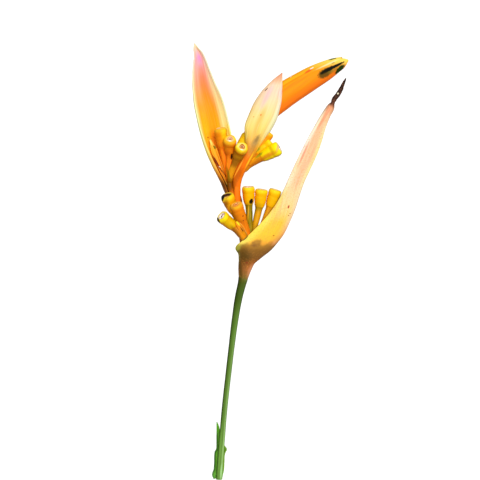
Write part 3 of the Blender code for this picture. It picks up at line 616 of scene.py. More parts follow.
def shell(rows, wall, columns=SHELL_COLUMNS, relief=None):
    """Boat-shaped shell. Its section runs over an angle t, zero at the keel: sideways it reaches
    half width * sin t, and its height over the keel is depth * (1 - cos t) up to a quarter turn and
    depth - roof * cos t past it. The inner skin is that section drawn in by the wall, and at a slim tip
    it closes to the straight line between the rims. Relief moves both skins along the outer normal."""
    table = smooth(rows, SHELL_STEP, places=6)
    keel = table[:, 0:3]
    centre = table[:, 3:6]
    half_minus, half_plus, roof, turn_minus, turn_plus = table[:, 6:11].T[:, :, None]
    depth = np.linalg.norm(centre - keel, axis=1)[:, None]
    across = normalised(centre - keel)
    middle = (keel + centre) / 2
    side = normalised(np.cross(normalised(np.gradient(middle, axis=0)), across))
    share = np.linspace(-1.0, 1.0, columns)[None, :] * np.ones_like(depth)
    angle = np.radians(share * np.where(share < 0, turn_minus, turn_plus))
    half = np.where(angle < 0, half_minus, half_plus)
    slim = np.minimum(half_minus, half_plus)
    inset = np.minimum(wall, 0.5 * np.minimum(slim, depth))
    filled = np.clip((wall + OPEN_TIP - slim) / (OPEN_TIP - SOLID_TIP), 0.0, 1.0)[:, :, None]

    def skin(drawn_in, roof_depth):
        """Points of one skin, drawn in from the outer one by its distance."""
        sideways = (half - drawn_in) * np.sin(angle)
        low = drawn_in + (depth - drawn_in) * (1 - np.cos(angle))
        high = depth - (roof_depth - drawn_in) * np.cos(angle)
        height = np.where(np.abs(angle) <= np.pi / 2, low, high)
        return keel[:, None] + height[:, :, None] * across[:, None] + sideways[:, :, None] * side[:, None]

    outer = skin(0.0, roof)
    inner = skin(inset, np.maximum(roof, inset))
    chord = inner[:, :1] + (inner[:, -1:] - inner[:, :1]) * np.linspace(0.0, 1.0, columns)[None, :, None]
    inner = inner + (chord - inner) * filled
    along = travel(middle)[:, None] * np.ones((1, columns))
    girth = angle * (half + depth) / 2
    outward = normalised(np.cross(np.gradient(outer, axis=1), np.gradient(outer, axis=0)))
    outward = outward * np.sign(np.sum(outward * (outer - inner)))
    if relief is not None:
        lift = relief(along, girth, share)[:, :, None] * outward
        outer = outer + lift
        inner = inner + lift
    turns = RIM_TURNS[None, :, None]
    plus_rim = rim_points(outer, inner, -1, -2, inset, turns)
    minus_rim = rim_points(outer, inner, 0, 1, inset, turns[:, ::-1])
    rings = np.concatenate((outer, plus_rim, inner[:, ::-1], minus_rim), axis=1)

    def looped(values):
        """Values over the outer skin, carried on over the rims and the inner skin."""
        plus = values[:, -1:].repeat(len(RIM_TURNS), axis=1)
        minus = values[:, :1].repeat(len(RIM_TURNS), axis=1)
        return np.concatenate((values, plus, values[:, ::-1], minus), axis=1)

    round_rim = RIM_TURNS / np.pi
    inside = np.concatenate((np.zeros(columns), round_rim, np.ones(columns), round_rim[::-1]))
    fields = {
        "along": looped(along),
        "across": looped(share),
        "girth": looped(girth),
        "inside": inside[None, :] * np.ones((len(rings), 1)),
        "sideways": looped(np.sin(angle)),
        "shady": looped(outward @ SHADY_SIDE),
    }
    faces = ring_faces(len(rings), rings.shape[1])
    faces += end_faces(0, columns)
    faces += [face[::-1] for face in end_faces((len(rings) - 1) * rings.shape[1], columns)]
    return {"points": rings.reshape(-1, 3), "faces": faces, "fields": fields}


def spokes_round(centres, sides, ahead=None):
    """Directions from each centre of a path to the points round it: at turn a, level * cos a + upright *
    sin a, both square to the path, which runs towards the points ahead."""
    along = normalised(np.gradient(centres, axis=0) if ahead is None else ahead - centres)
    level = normalised(np.cross(along, UP))
    upright = np.cross(level, along)
    turn = 2 * np.pi * np.arange(sides) / sides
    return np.cos(turn)[:, None] * level[:, None] + np.sin(turn)[:, None] * upright[:, None]


def closed_round(centres, spokes, radii, distances):
    """Part made of rings round a path: centre + radius * spoke, with a fan to a pole in the first and in
    the last ring. Its grain runs with the distance along it and round it."""
    rings = centres[:, None] + radii[:, :, None] * spokes
    count, sides = radii.shape
    faces = ring_faces(count, sides)
    last = (count - 1) * sides
    for side in range(sides):
        after = (side + 1) % sides
        faces.append([count * sides, after, side])
        faces.append([count * sides + 1, last + side, last + after])
    turn = 2 * np.pi * np.arange(sides) / sides
    fields = {
        "along": distances[:, None] * np.ones_like(radii),
        "round_x": radii * np.cos(turn),
        "round_y": radii * np.sin(turn),
        "shady": spokes @ SHADY_SIDE,
    }
    for name, values in fields.items():
        fields[name] = np.append(values, (values[0].mean(), values[-1].mean()))
    poles = np.stack((rings[0].mean(axis=0), rings[-1].mean(axis=0)))
    return {"points": np.vstack((rings.reshape(-1, 3), poles)), "faces": faces, "fields": fields}


def tube(rows, step, sides, grooves=0.0):
    """Round stalk through its stations. Its radius at turn a is the station's radius * (1 + grooves *
    (cos 7a + a slow unevenness))."""
    table = smooth(rows, step)
    distances = travel(table[:, :3])
    turn = 2 * np.pi * np.arange(sides) / sides
    uneven = np.cos(7 * turn)[None, :] + ripple(distances[:, None] / 6, np.cos(turn)[None, :] * 2)
    radii = table[:, 3:4] * (1 + grooves * uneven)
    return closed_round(table[:, :3], spokes_round(table[:, :3], sides), radii, distances)


def fruit_swell(distances, radii, size, stalk, turn, phase):
    """Factor on a fruit's radius at each distance from its end and each turn a round it: 1 + LOBE_HEIGHT *
    cos 3a, fading down the body, with a scalloped shoulder, a waist that runs round aslant, and fine
    wrinkles. The stalk is the thicker the more it has turned orange."""
    fade = np.clip(1 - distances / (LOBE_REACH * size), 0.0, 1.0) * np.clip(radii / (2 * size), 0.0, 1.0)
    swell = 1 + LOBE_HEIGHT * fade * np.cos(LOBES * turn + phase)
    shoulder = np.exp(-(((distances - END_DEPTH) / SHOULDER_LENGTH) ** 2))
    shoulder = shoulder * np.clip(radii / size - 1.8, 0.0, 1.0)
    swell = swell + SCALLOP_HEIGHT * shoulder * np.cos(SCALLOPS * turn + phase * 3)
    aslant = distances - size * (WAIST_AT + WAIST_SLANT * np.cos(turn + phase))
    waist = np.exp(-((aslant / WAIST_LENGTH) ** 2)) * np.clip(radii / size - 2.2, 0.0, 1.0)
    swell = swell - WAIST_DEPTH * waist + WRINKLE_HEIGHT * ripple(4 * np.cos(turn) + phase, distances * 1.1)
    return swell * (1 + ORANGE_STALK_SWELL * stalk * np.clip((distances / size - 6) / 3, 0.0, 1.0))


def fruit(size, ripe, stalk, dull, pale, route):
    """Fruit on its stalk: the outline's radius at each distance from the end, times its swell, round the
    route, which is led on 1 mm past the end. The stalk is drawn in near its root and ends just short of
    it, inside the shared stalk. Reach is the radius on the fruit's end, and grows with the distance down
    its side."""
    path = smooth(route, ROUTE_STEP)[::-1]
    path = np.vstack((path[0] + normalised(path[0] - path[1]), path))
    travelled = travel(path) - 1.0
    outline = np.column_stack((np.array(FRUIT_OUTLINE), np.zeros(len(FRUIT_OUTLINE))))
    body = smooth(outline[outline[:, 1] <= STALK_FROM], BODY_STEP)
    stem = smooth(outline[outline[:, 1] >= STALK_FROM], STALK_STEP)
    outline = np.vstack((body[1:-1], stem)) * size
    outline = outline[outline[:, 1] < travelled[-1] - ROOT_GAP]
    radii, distances = outline[:, 0], outline[:, 1]
    reach = np.maximum.accumulate(radii) + np.clip(distances - END_DEPTH * size, 0.0, None)
    centres = np.column_stack([np.interp(distances, travelled, column) for column in path.T])
    ahead = np.column_stack([np.interp(distances + LOOK_AHEAD, travelled, column) for column in path.T])
    turn = 2 * np.pi * np.arange(FRUIT_SIDES)[None, :] / FRUIT_SIDES
    swell = fruit_swell(distances[:, None], radii[:, None], size, stalk, turn, route[-1][0])
    girth = radii[:, None] * swell * np.clip((travelled[-1] - distances) / 3, 0.4, 1.0)[:, None]
    part = closed_round(centres, spokes_round(centres, FRUIT_SIDES, ahead), girth, distances)
    every = np.ones(len(part["points"]))
    part["fields"]["reach"] = np.append(np.repeat(reach / size, FRUIT_SIDES), (0.0, reach[-1] / size))
    for name, value in (("ripe", ripe), ("stalk", stalk), ("dull", dull), ("pale", pale)):
        part["fields"][name] = value * every
    return part


def flower_rows(keel_side, turns):
    """Stations of a part of the open flower. Its keel lies half a width to the keel side of the middle
    line, which is +1 for the upper left edge and -1 for the lower right one."""
    table = np.array(OPEN_FLOWER)
    middle = table[:, :3]
    in_plane = table[:, 3:4]
    upright = table[:, 4:5]
    along = normalised(np.gradient(middle, axis=0))
    leftwards = normalised(np.cross(UP, along))
    keel = middle + keel_side * in_plane * leftwards
    turns = np.reshape(turns, (-1, 1)) * np.ones_like(in_plane)
    return np.hstack((keel, middle, upright, upright, in_plane, turns, turns))


def make_piece(name, parts, node, rests=False):
    """Mesh object at the origin from its parts, with their fields as attributes of its points. Faces are
    turned out by the sign of each part's volume. A piece that rests keeps nothing below the surface."""
    names = sorted({field for part in parts for field in part["fields"]})
    points, faces, count = [], [], 0
    fields = {field: [] for field in names}
    for part in parts:
        corners = part["points"][np.array([face[:3] for face in part["faces"]])]
        volume = np.sum(corners[:, 0] * np.cross(corners[:, 1], corners[:, 2]))
        for face in part["faces"]:
            faces.append([count + corner for corner in (face if volume > 0 else face[::-1])])
        for field in names:
            fields[field].append(np.ravel(part["fields"].get(field, np.zeros(len(part["points"])))))
        points.append(part["points"])
        count += len(part["points"])
    points = np.vstack(points) * MILLIMETRE
    if rests:
        points[:, 2] = np.maximum(points[:, 2], 0.0)
    mesh = bpy.data.meshes.new(name)
    mesh.from_pydata(points.tolist(), [], faces)
    for field in names:
        values = np.concatenate(fields[field]).astype(np.float32)
        mesh.attributes.new(field, "FLOAT", "POINT").data.foreach_set("value", values)
    mesh.shade_smooth()
    piece = bpy.data.objects.new(name, mesh)
    bpy.context.scene.collection.objects.link(piece)
    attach(piece, "root")
    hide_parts(node)
    return piece


def screen(colour):
    """Linear colour of a screen colour, by the usual curve: straight near black, then a power."""
    share = np.array(colour) / 255
    linear = np.where(share <= 0.04045, share / 12.92, ((share + 0.055) / 1.055) ** 2.4)
    return (*linear.tolist(), 1.0)


def paint(value):
    """A screen colour made linear, or a socket as it is."""
    return value if isinstance(value, bpy.types.NodeSocket) else screen(value)


class Finish:
    """Finish of one piece, built as nodes. What makes a number, a colour or a noise gives back its
    output socket."""

    def __init__(self, piece, roughness, gloss=0.1, coat=0.0, grain=SHELL_GRAIN):
        self.piece = piece
        self.material = bpy.data.materials.new(piece.name + "_skin")
        self.material.use_nodes = True
        self.tree = self.material.node_tree
        self.shader = self.tree.nodes["Principled BSDF"]
        self.shader.inputs["Roughness"].default_value = roughness
        self.shader.inputs["Specular IOR Level"].default_value = gloss
        self.shader.inputs["Coat Weight"].default_value = coat
        self.shader.inputs["Coat Roughness"].default_value = COAT_ROUGHNESS
        inputs = {0: self.add("ShaderNodeTexCoord").outputs["Object"], "Scale": 1 / MILLIMETRE}
        self.place = self.add("ShaderNodeVectorMath", inputs, operation="SCALE").outputs[0]
        self.y = self.add("ShaderNodeSeparateXYZ", {0: self.place}).outputs[1]
        fields = {index: self.field(name) for index, name in enumerate(grain)}
        self.grain = self.add("ShaderNodeCombineXYZ", fields).outputs[0]
        ragged = self.number("SUBTRACT", self.cloud(RAGGED_STRETCH, 2.0, self.place), 0.5)
        self.uneven = self.product(ragged, RAGGED_AMOUNT)
        self.sight = BVHTree.FromObject(piece, bpy.context.evaluated_depsgraph_get())

    def add(self, kind, inputs=None, **settings):
        """A node with its settings, and with each input linked or set."""
        node = self.tree.nodes.new(kind)
        for name, value in settings.items():
            setattr(node, name, value)
        for socket, value in (inputs or {}).items():
            if isinstance(value, bpy.types.NodeSocket):
                self.tree.links.new(value, node.inputs[socket])
            else:
                node.inputs[socket].default_value = value
        return node

    def field(self, name):
        """Attribute of the piece's points."""
        return self.add("ShaderNodeAttribute", attribute_name=name).outputs["Fac"]

    def number(self, operation, first, second=0.0):
        """Sum, difference or other combination of two numbers."""
        return self.add("ShaderNodeMath", {0: first, 1: second}, operation=operation).outputs[0]

    def product(self, first, *factors):
        """Product of several numbers."""
        for factor in factors:
            first = self.number("MULTIPLY", first, factor)
        return first

    def band(self, value, low, high):
        """Smooth rise from 0 at low to 1 at high, or fall where low is the greater."""
        inputs = {"Value": value, "From Min": low, "From Max": high}
        return self.add("ShaderNodeMapRange", inputs, interpolation_type="SMOOTHSTEP").outputs["Result"]

    def between(self, value, low, high, edge):
        """1 from low to high, with soft edges."""
        rise = self.band(value, low - edge, low + edge)
        fall = self.band(value, high + edge, high - edge)
        return self.product(rise, fall)

    def gradient(self, value, stops):
        """Colour read from stops of value and colour."""
        low, high = stops[0][0], stops[-1][0]
        share = self.add("ShaderNodeMapRange", {"Value": value, "From Min": low, "From Max": high})
        ramp = self.add("ShaderNodeValToRGB", {0: share.outputs["Result"]})
        elements = ramp.color_ramp.elements
        for index, (place, colour) in enumerate(stops):
            if index > 1:
                elements.new(1.0)
            elements[index].position = (place - low) / (high - low)
            elements[index].color = screen(colour)
        return ramp.outputs["Color"]

    def blend(self, under, over, share):
        """Over laid on under by the share, each a colour or a socket."""
        inputs = {0: share, 6: paint(under), 7: paint(over)}
        return self.add("ShaderNodeMix", inputs, data_type="RGBA").outputs[2]

    def tint(self, colour, over, strength, *masks):
        """Colour with another laid on it by the strength, where all the masks are 1."""
        return self.blend(colour, over, self.product(*masks, strength))

    def shaded(self, colour, over, low, high, strength):
        """Colour with another laid on the side turned from the light, or on the lit side where low is the
        greater."""
        return self.tint(colour, over, strength, self.band(self.field("shady"), low, high))

    def cloud(self, stretch, detail=3.0, where=None):
        """Noise from 0 to 1 over the grain, or over other coordinates, times three factors."""
        inputs = {0: self.grain if where is None else where, 1: stretch}
        scaled = self.add("ShaderNodeVectorMath", inputs, operation="MULTIPLY").outputs[0]
        inputs = {"Vector": scaled, "Scale": 1.0, "Detail": detail, "Roughness": NOISE_ROUGHNESS}
        return self.add("ShaderNodeTexNoise", inputs).outputs["Fac"]

    def streaks(self, colour, light, dark, amount):
        """Colour with fine light and broad dark streaks along the grain."""
        fine = self.cloud(FINE_STREAKS, 4.0)
        broad = self.cloud(BROAD_STREAKS, 2.0)
        colour = self.tint(colour, light, amount, self.band(fine, 0.5, 0.72))
        return self.tint(colour, dark, amount, self.band(broad, 0.5, 0.3))

    def seen_at(self, x, y):
        """Point of the surface where the line of sight through x, y in the mark plane first meets it, or
        the nearest one."""
        eye = Vector(CAMERA_PLACE) * MILLIMETRE
        goal = Vector((x, y, MARK_PLANE)) * MILLIMETRE
        found = self.sight.ray_cast(eye, goal - eye)[0]
        if found is None:
            found = self.sight.find_nearest(goal)[0]
        return tuple(found / MILLIMETRE)

    def marks(self, colour, spots):
        """Colour with soft, ragged spots laid on it. Each spot: x and y in the mark plane, length, width,
        turn in degrees, colour, strength and softness."""
        for x, y, length, width, turn, over, strength, soft in spots:
            inputs = {
                "Vector": self.place,
                "Location": self.seen_at(x, y),
                "Rotation": (0.0, 0.0, np.radians(turn)),
                "Scale": (length / 2, width / 2, MARK_DEPTH),
            }
            local = self.add("ShaderNodeMapping", inputs, vector_type="TEXTURE").outputs[0]
            far = self.add("ShaderNodeVectorMath", {0: local}, operation="LENGTH").outputs["Value"]
            far = self.number("ADD", far, self.uneven)
            colour = self.tint(colour, over, strength, self.band(far, 1.0 + soft / 2, 1.0 - soft / 2))
        return colour

    def dress(self, colour, height, depth=BUMP_DEPTH):
        """Colour and a bump of the given depth, and the finish put on the piece."""
        self.tree.links.new(colour, self.shader.inputs["Base Color"])
        bump = self.add("ShaderNodeBump", {"Height": height, "Distance": depth * MILLIMETRE})
        self.tree.links.new(bump.outputs[0], self.shader.inputs["Normal"])
        self.piece.data.materials.append(self.material)


def bract_relief(along, girth, share):
    """Lengthwise veins, a cosine of the girth, with a slow unevenness and with rims that wave along a sine.
    All of it fades in from the base."""
    veins = VEIN_HEIGHT * np.cos(2 * np.pi * girth / VEIN_STEP)
    uneven = BRACT_UNEVEN * ripple(along / 9, girth / 4)
    at_rim = np.clip((np.abs(share) - 0.75) * 4, 0.0, 1.0)
    waved = RIM_WAVE * np.sin(along / 4.5 + 2 * np.sign(share)) * at_rim
    return (veins + uneven + waved) * np.clip((along - 4) / 8, 0.0, 1.0)


def lower_bract_relief(along, girth, share):
    """As on every bract, but crumpled by a fine ripple past the start of the dry tip."""
    dry = np.clip((along - DRY_FROM) / 5, 0.0, 1.0)
    crumpled = DRY_CRUMPLE * ripple(along * 1.7, girth * 2.4)
    return bract_relief(along, girth, share) * (1 - dry) + crumpled * dry


def left_bract_relief(along, girth, share):
    """As on every bract, with the right rim bent outwards: most at the rim and past the base, and less and
    less towards the tip, along a smooth step."""
    rise = np.clip((along - 28) / 12, 0.0, 1.0)
    fall = np.clip((88 - along) / 34, 0.0, 1.0)
    bent = RIM_BEND * np.clip((share - 0.6) / 0.4, 0.0, 1.0) ** 1.5 * rise * fall * fall * (3 - 2 * fall)
    return bract_relief(along, girth, share) + bent


def upper_bract_relief(along, girth, share):
    """As on every bract, with a raised midrib and a crease to the right of it, both bell curves across."""
    midrib = MIDRIB_HEIGHT * np.exp(-((girth / MIDRIB_WIDTH) ** 2)) * np.clip((along - 11) / 14, 0.0, 1.0)
    crease = CREASE_DEPTH * np.exp(-(((share + 0.38) / 0.05) ** 2)) * np.clip((along - 31) / 6, 0.0, 1.0)
    return bract_relief(along, girth, share) + midrib - crease


def petal_relief(along, girth, share):
    """Lengthwise ribs, a cosine of the girth, with a slow unevenness. Both fade towards the base."""
    ribs = PETAL_RIB_HEIGHT * np.cos(2 * np.pi * girth / PETAL_RIB_STEP)
    return (ribs + PETAL_UNEVEN * ripple(along / 8, girth / 3)) * np.clip(along / 8, 0.0, 1.0)


def dry_relief(along, girth, share):
    """Ripple of an uneven, half dried skin."""
    return SCALE_UNEVEN * ripple(along, girth * 1.5)


def finish_stem(piece):
    """Green waxy stalk that turns orange past the seat of the lowest bract, with fine fibres, painted shade
    on its left side and painted light on its right side.
    """
    finish = Finish(piece, 0.5, gloss=0.06, grain=ROUND_GRAIN)
    green = finish.gradient(finish.y, STALK_GREEN + NECK)
    # Painted shade darkens the left side, most above the sheath.
    above_sheath = finish.product(finish.band(finish.y, -90.0, -80.0), 0.7)
    green = finish.shaded(green, (34, 52, 4), -0.68, 0.36, finish.number("ADD", above_sheath, 0.1))
    green = finish.shaded(green, (18, 30, 0), 0.0, 0.5, above_sheath)
    # Painted light makes the right side paler, most towards the foot.
    low = finish.product(finish.band(finish.y, -20.0, -70.0), 0.42)
    green = finish.shaded(green, (168, 210, 126), -0.62, -0.86, finish.number("ADD", low, 0.2))
    # Painted shade browns the orange axis on the side turned from the light.
    orange = finish.shaded(finish.gradient(finish.y, AXIS_ORANGE), PAINTED_SHADE_UMBER, -0.4, 0.5, 0.8)
    colour = finish.blend(green, orange, finish.band(finish.y, -7.2, -6.8))
    fibres = finish.cloud((0.08, 3.0, 3.0), 4.0)
    dark = finish.band(fibres, 0.55, 0.3)
    colour = finish.tint(colour, (58, 82, 16), 0.4, dark, finish.band(finish.y, -12.0, -20.0))
    colour = finish.marks(colour, STEM_MARKS)
    finish.dress(colour, fibres)


def finish_sheath(piece):
    """Fresh green sheath, darkest at its left edge, with a bright tongue."""
    finish = Finish(piece, 0.5, gloss=0.15)
    colour = finish.gradient(finish.field("across"), SHEATH_TONES)
    colour = finish.tint(colour, BRIGHT_GREEN, 0.7, finish.band(finish.y, -88.0, -84.0))
    colour = finish.tint(colour, (120, 196, 92), 0.4, finish.band(finish.y, -102.0, -109.0))
    colour = finish.streaks(colour, FRESH_GREEN, DARK_GREEN, 0.3)
    finish.dress(colour, finish.cloud((0.1, 3.0, 4.0)))


def finish_lower_bract(piece):
    """Yellow and peach bract with an olive and brown base, painted shade over its belly and on the left of
    its neck, pale edges and a dry dark tip.
    """
    finish = Finish(piece, 0.52)
    spread = finish.number("ABSOLUTE", finish.field("across"))
    keel = finish.gradient(finish.y, NECK[2:] + LOWER_KEEL)
    flank = finish.gradient(finish.y, NECK[2:] + LOWER_FLANK)
    rim = finish.gradient(finish.y, NECK[2:] + LOWER_RIM)
    colour = finish.blend(keel, flank, finish.band(spread, 0.1, 0.56))
    colour = finish.blend(colour, rim, finish.band(spread, 0.76, 0.96))
    streaked = finish.streaks(colour, CREAM, SALMON, 0.3)
    colour = finish.blend(colour, streaked, finish.band(finish.y, 10.0, 30.0))
    sand = finish.cloud((1.6, 1.6, 1.6), 4.0, finish.place)
    colour = finish.tint(colour, (232, 150, 64), 0.4, finish.band(sand, 0.5, 0.66))
    # Painted shade over the belly near the base, with a mottled upper border.
    mottle = finish.cloud((0.22, 0.22, 0.22), 3.0, finish.place)
    border = finish.number("ADD", finish.y, finish.product(mottle, 6.0))
    belly_shade = finish.between(border, 4.0, 12.6, 1.6)
    colour = finish.tint(colour, (122, 82, 30), 0.64, belly_shade, finish.band(spread, 1.0, 0.86))
    outline = finish.number("ADD", finish.band(spread, 0.9, 0.98), finish.band(spread, 0.1, 0.02))
    colour = finish.tint(colour, (124, 72, 52), 0.7, outline, finish.band(finish.y, 60.0, 74.0))
    withered = finish.band(finish.field("along"), DRY_FROM, DRY_FROM + 2.0)
    crinkles = finish.cloud((0.9, 1.8, 2.0), 4.0)
    dark = finish.gradient(finish.y, DRY_TIP)
    dry = finish.blend(dark, DRY_BROWN, finish.band(crinkles, 0.48, 0.7))
    colour = finish.blend(colour, dry, withered)
    colour = finish.marks(colour, LOWER_BRACT_MARKS)
    creases = finish.product(withered, 3.0, crinkles)
    fibres = finish.cloud(BRACT_FIBRES, 4.0)
    finish.dress(colour, finish.number("ADD", fibres, creases))


def finish_left_bract(piece):
    """Bract seen from inside: pink at the tip through salmon to orange, between pale yellow edges, and
    painted shade darkening its base to brown and olive in the crevice among the stalks.
    """
    finish = Finish(piece, 0.55, gloss=0.06)
    sideways = finish.field("sideways")
    middle = finish.gradient(finish.y, LEFT_MIDDLE)
    sides = finish.gradient(finish.y, LEFT_SIDES)
    rim = finish.gradient(finish.y, LEFT_RIM)
    colour = finish.blend(middle, sides, finish.band(finish.number("ABSOLUTE", sideways), 0.15, 0.6))
    colour = finish.blend(colour, rim, finish.band(sideways, -0.74, -1.0))
    colour = finish.blend(colour, rim, finish.band(sideways, 0.48, 0.86))
    colour = finish.blend(colour, rim, finish.band(finish.field("inside"), 0.6, 0.3))
    colour = finish.streaks(colour, PEACH, DEEP_ORANGE, 0.16)
    right_edge = finish.band(finish.field("across"), 0.965, 0.995)
    colour = finish.tint(colour, (222, 224, 180), 0.6, right_edge, finish.band(finish.y, 60.0, 70.0))
    colour = finish.marks(colour, LEFT_BRACT_MARKS)
    finish.dress(colour, finish.cloud(BRACT_FIBRES, 4.0))


def finish_upper_bract(piece):
    """Pale bract with its keel up: cream and yellow with pink tints, and orange towards its base, where
    painted shade browns the side turned from the light, a painted highlight runs along the left edge and a
    painted shadow lies as a khaki patch.
    """
    finish = Finish(piece, 0.52, gloss=0.06)
    spread = finish.field("across")
    colour = finish.gradient(finish.y, UPPER_MIDDLE)
    colour = finish.blend(colour, finish.gradient(finish.y, UPPER_LEFT), finish.band(spread, 0.45, 0.9))
    colour = finish.blend(colour, finish.gradient(finish.y, UPPER_RIGHT), finish.band(spread, -0.25, -0.6))
    midline = finish.between(spread, 0.02, 0.22, 0.12)
    colour = finish.tint(colour, (250, 184, 78), 0.7, midline, finish.between(finish.y, 54.0, 76.0, 4.0))
    crease = finish.between(spread, -0.42, -0.35, 0.05)
    colour = finish.tint(colour, (236, 190, 110), 0.5, crease, finish.between(finish.y, 64.0, 82.0, 3.0))
    streaked = finish.streaks(colour, CREAM, PEACH, 0.25)
    colour = finish.blend(colour, streaked, finish.band(finish.y, 50.0, 62.0))
    # Painted shade: the base browns on the side turned from the light.
    shady = finish.band(finish.field("shady"), -0.45, 0.4)
    colour = finish.tint(colour, PAINTED_SHADE_UMBER, 0.8, shady, finish.band(finish.y, 54.0, 44.0))
    # Painted highlight: a golden line along the left edge near the base.
    ridge_highlight = finish.between(spread, 0.76, 0.92, 0.08)
    colour = finish.tint(colour, (254, 178, 50), 0.8, ridge_highlight, finish.between(finish.y, 43.5, 56.0, 2.0))
    colour = finish.marks(colour, UPPER_BRACT_MARKS)
    finish.dress(colour, finish.cloud(BRACT_FIBRES, 4.0))


def finish_petal(piece, tones, marks):
    """Saturated orange petal with streaks along it and yellow ends; its marks include painted white
    highlights.
    """
    finish = Finish(piece, 0.5, gloss=0.05)
    colour = finish.gradient(finish.number("ABSOLUTE", finish.field("across")), tones)
    colour = finish.streaks(colour, (255, 160, 20), DEEP_ORANGE, 0.4)
    colour = finish.tint(colour, (254, 226, 96), 0.9, finish.band(finish.y, 95.5, 101.5))
    colour = finish.tint(colour, (254, 186, 20), 0.9, finish.band(finish.y, 66.0, 63.0))
    colour = finish.marks(colour, marks)
    finish.dress(colour, finish.cloud((0.06, 2.0, 4.0), 4.0), 0.14)


def finish_fruits(piece, marks):
    """Fruits with a soft gloss, yellow to orange, each with a scar, on stalks from olive to orange, with
    painted shade that turns the side away from the light orange and brown.
    """
    finish = Finish(piece, 0.42, gloss=0.07, coat=0.02, grain=ROUND_GRAIN)
    patches = finish.cloud((0.3, 0.6, 0.6))
    fibres = finish.cloud((0.07, 2.2, 2.2), 4.0)
    down = finish.field("reach")
    reach = finish.number("ADD", down, finish.number("SUBTRACT", patches, 0.5))
    ragged = finish.number("ADD", down, finish.product(finish.uneven, 1.3))
    ripe = finish.field("ripe")
    stalk = finish.field("stalk")
    dull = finish.field("dull")
    # Painted shade: the skin turns orange on the side turned from the light.
    skin = finish.shaded(finish.gradient(ripe, SKIN), PAINTED_SHADE_ORANGE, -0.3, 0.5, 0.6)
    colour = finish.blend(finish.gradient(ripe, END), skin, finish.band(reach, 3.2, 5.0))
    colour = finish.blend(colour, finish.gradient(stalk, STALK), finish.band(reach, 11.2, 12.0))
    along_stalk = finish.band(reach, 10.6, 13.0)
    colour = finish.tint(colour, GOLD, 0.6, finish.band(fibres, 0.54, 0.68), along_stalk)
    colour = finish.tint(colour, RUST, 0.4, finish.band(fibres, 0.46, 0.3), along_stalk)
    # Painted shade: the body browns by each fruit's own amount of painted shade.
    colour = finish.tint(colour, PAINTED_SHADE_BROWN, 0.75, dull, finish.between(reach, 5.4, 16.0, 1.6))
    # Painted shade: the side turned from the light browns, less on fruits with orange stalks.
    shade_strength = finish.number("SUBTRACT", 0.8, finish.product(stalk, 0.5))
    shady = finish.band(finish.field("shady"), 0.35, 0.95)
    colour = finish.tint(colour, PAINTED_SHADE_BROWN, shade_strength, shady, finish.band(reach, 3.0, 4.4))
    scar = finish.gradient(ragged, SCAR)
    scar = finish.tint(scar, (252, 170, 70), 0.55, ripe, finish.band(ragged, 0.7, 1.4))
    scar = finish.tint(scar, WHITE, 0.8, finish.field("pale"), finish.between(ragged, 0.5, 1.8, 0.25))
    # The same value darkens the scar's rim to dark red, a mark of the fruit's own.
    scar = finish.tint(scar, DARK_RED, 0.75, dull, finish.between(ragged, 1.05, 1.3, 0.14))
    colour = finish.blend(scar, colour, finish.band(ragged, 1.9, 2.5))
    colour = finish.marks(colour, marks)
    finish.dress(colour, finish.number("ADD", fibres, patches), 0.1)


def finish_scale(piece, marks):
    """Small bract among the fruits, half dried, from brown at its root to yellow."""
    finish = Finish(piece, 0.5)
    colour = finish.gradient(finish.field("along"), SCALE_TONES)
    colour = finish.streaks(colour, PALE_YELLOW, RUST, 0.3)
    colour = finish.marks(colour, marks)
    finish.dress(colour, finish.cloud((0.12, 2.0, 4.0), 4.0), 0.14)


# Marks, as the photo's plane shows them: x, y, length, width, turn in degrees, colour, strength, softness.
STEM_MARKS = (
    # The first two are painted highlights on the stalk's right side near the foot; the third lightens the
    # stalk's left edge beside the sheath, easing its painted shade.
    (-23.5, -97.0, 24.0, 0.8, 86.5, (166, 214, 120), 0.45, 1.0),
    (-24.3, -105.0, 7.0, 1.1, 85, (184, 234, 154), 0.55, 1.2),
    (-26.2, -94.0, 24.0, 1.0, 85.7, (116, 164, 68), 0.8, 1.0),
    # Painted shade on the left of the neck and of the orange axis, and a painted highlight line beside it.
    (-14.9, -6.0, 7.0, 1.6, 96, (62, 58, 12), 0.85, 1.4),
    (-16.2, 42.4, 8.0, 2.8, 72, (176, 84, 4), 0.75, 1.2),
    (-18.4, 37.5, 9.0, 1.6, 84, (146, 76, 6), 0.8, 1.2),
    (-18.0, 41.0, 5.0, 0.6, 75, (250, 160, 40), 0.7, 0.8),
)
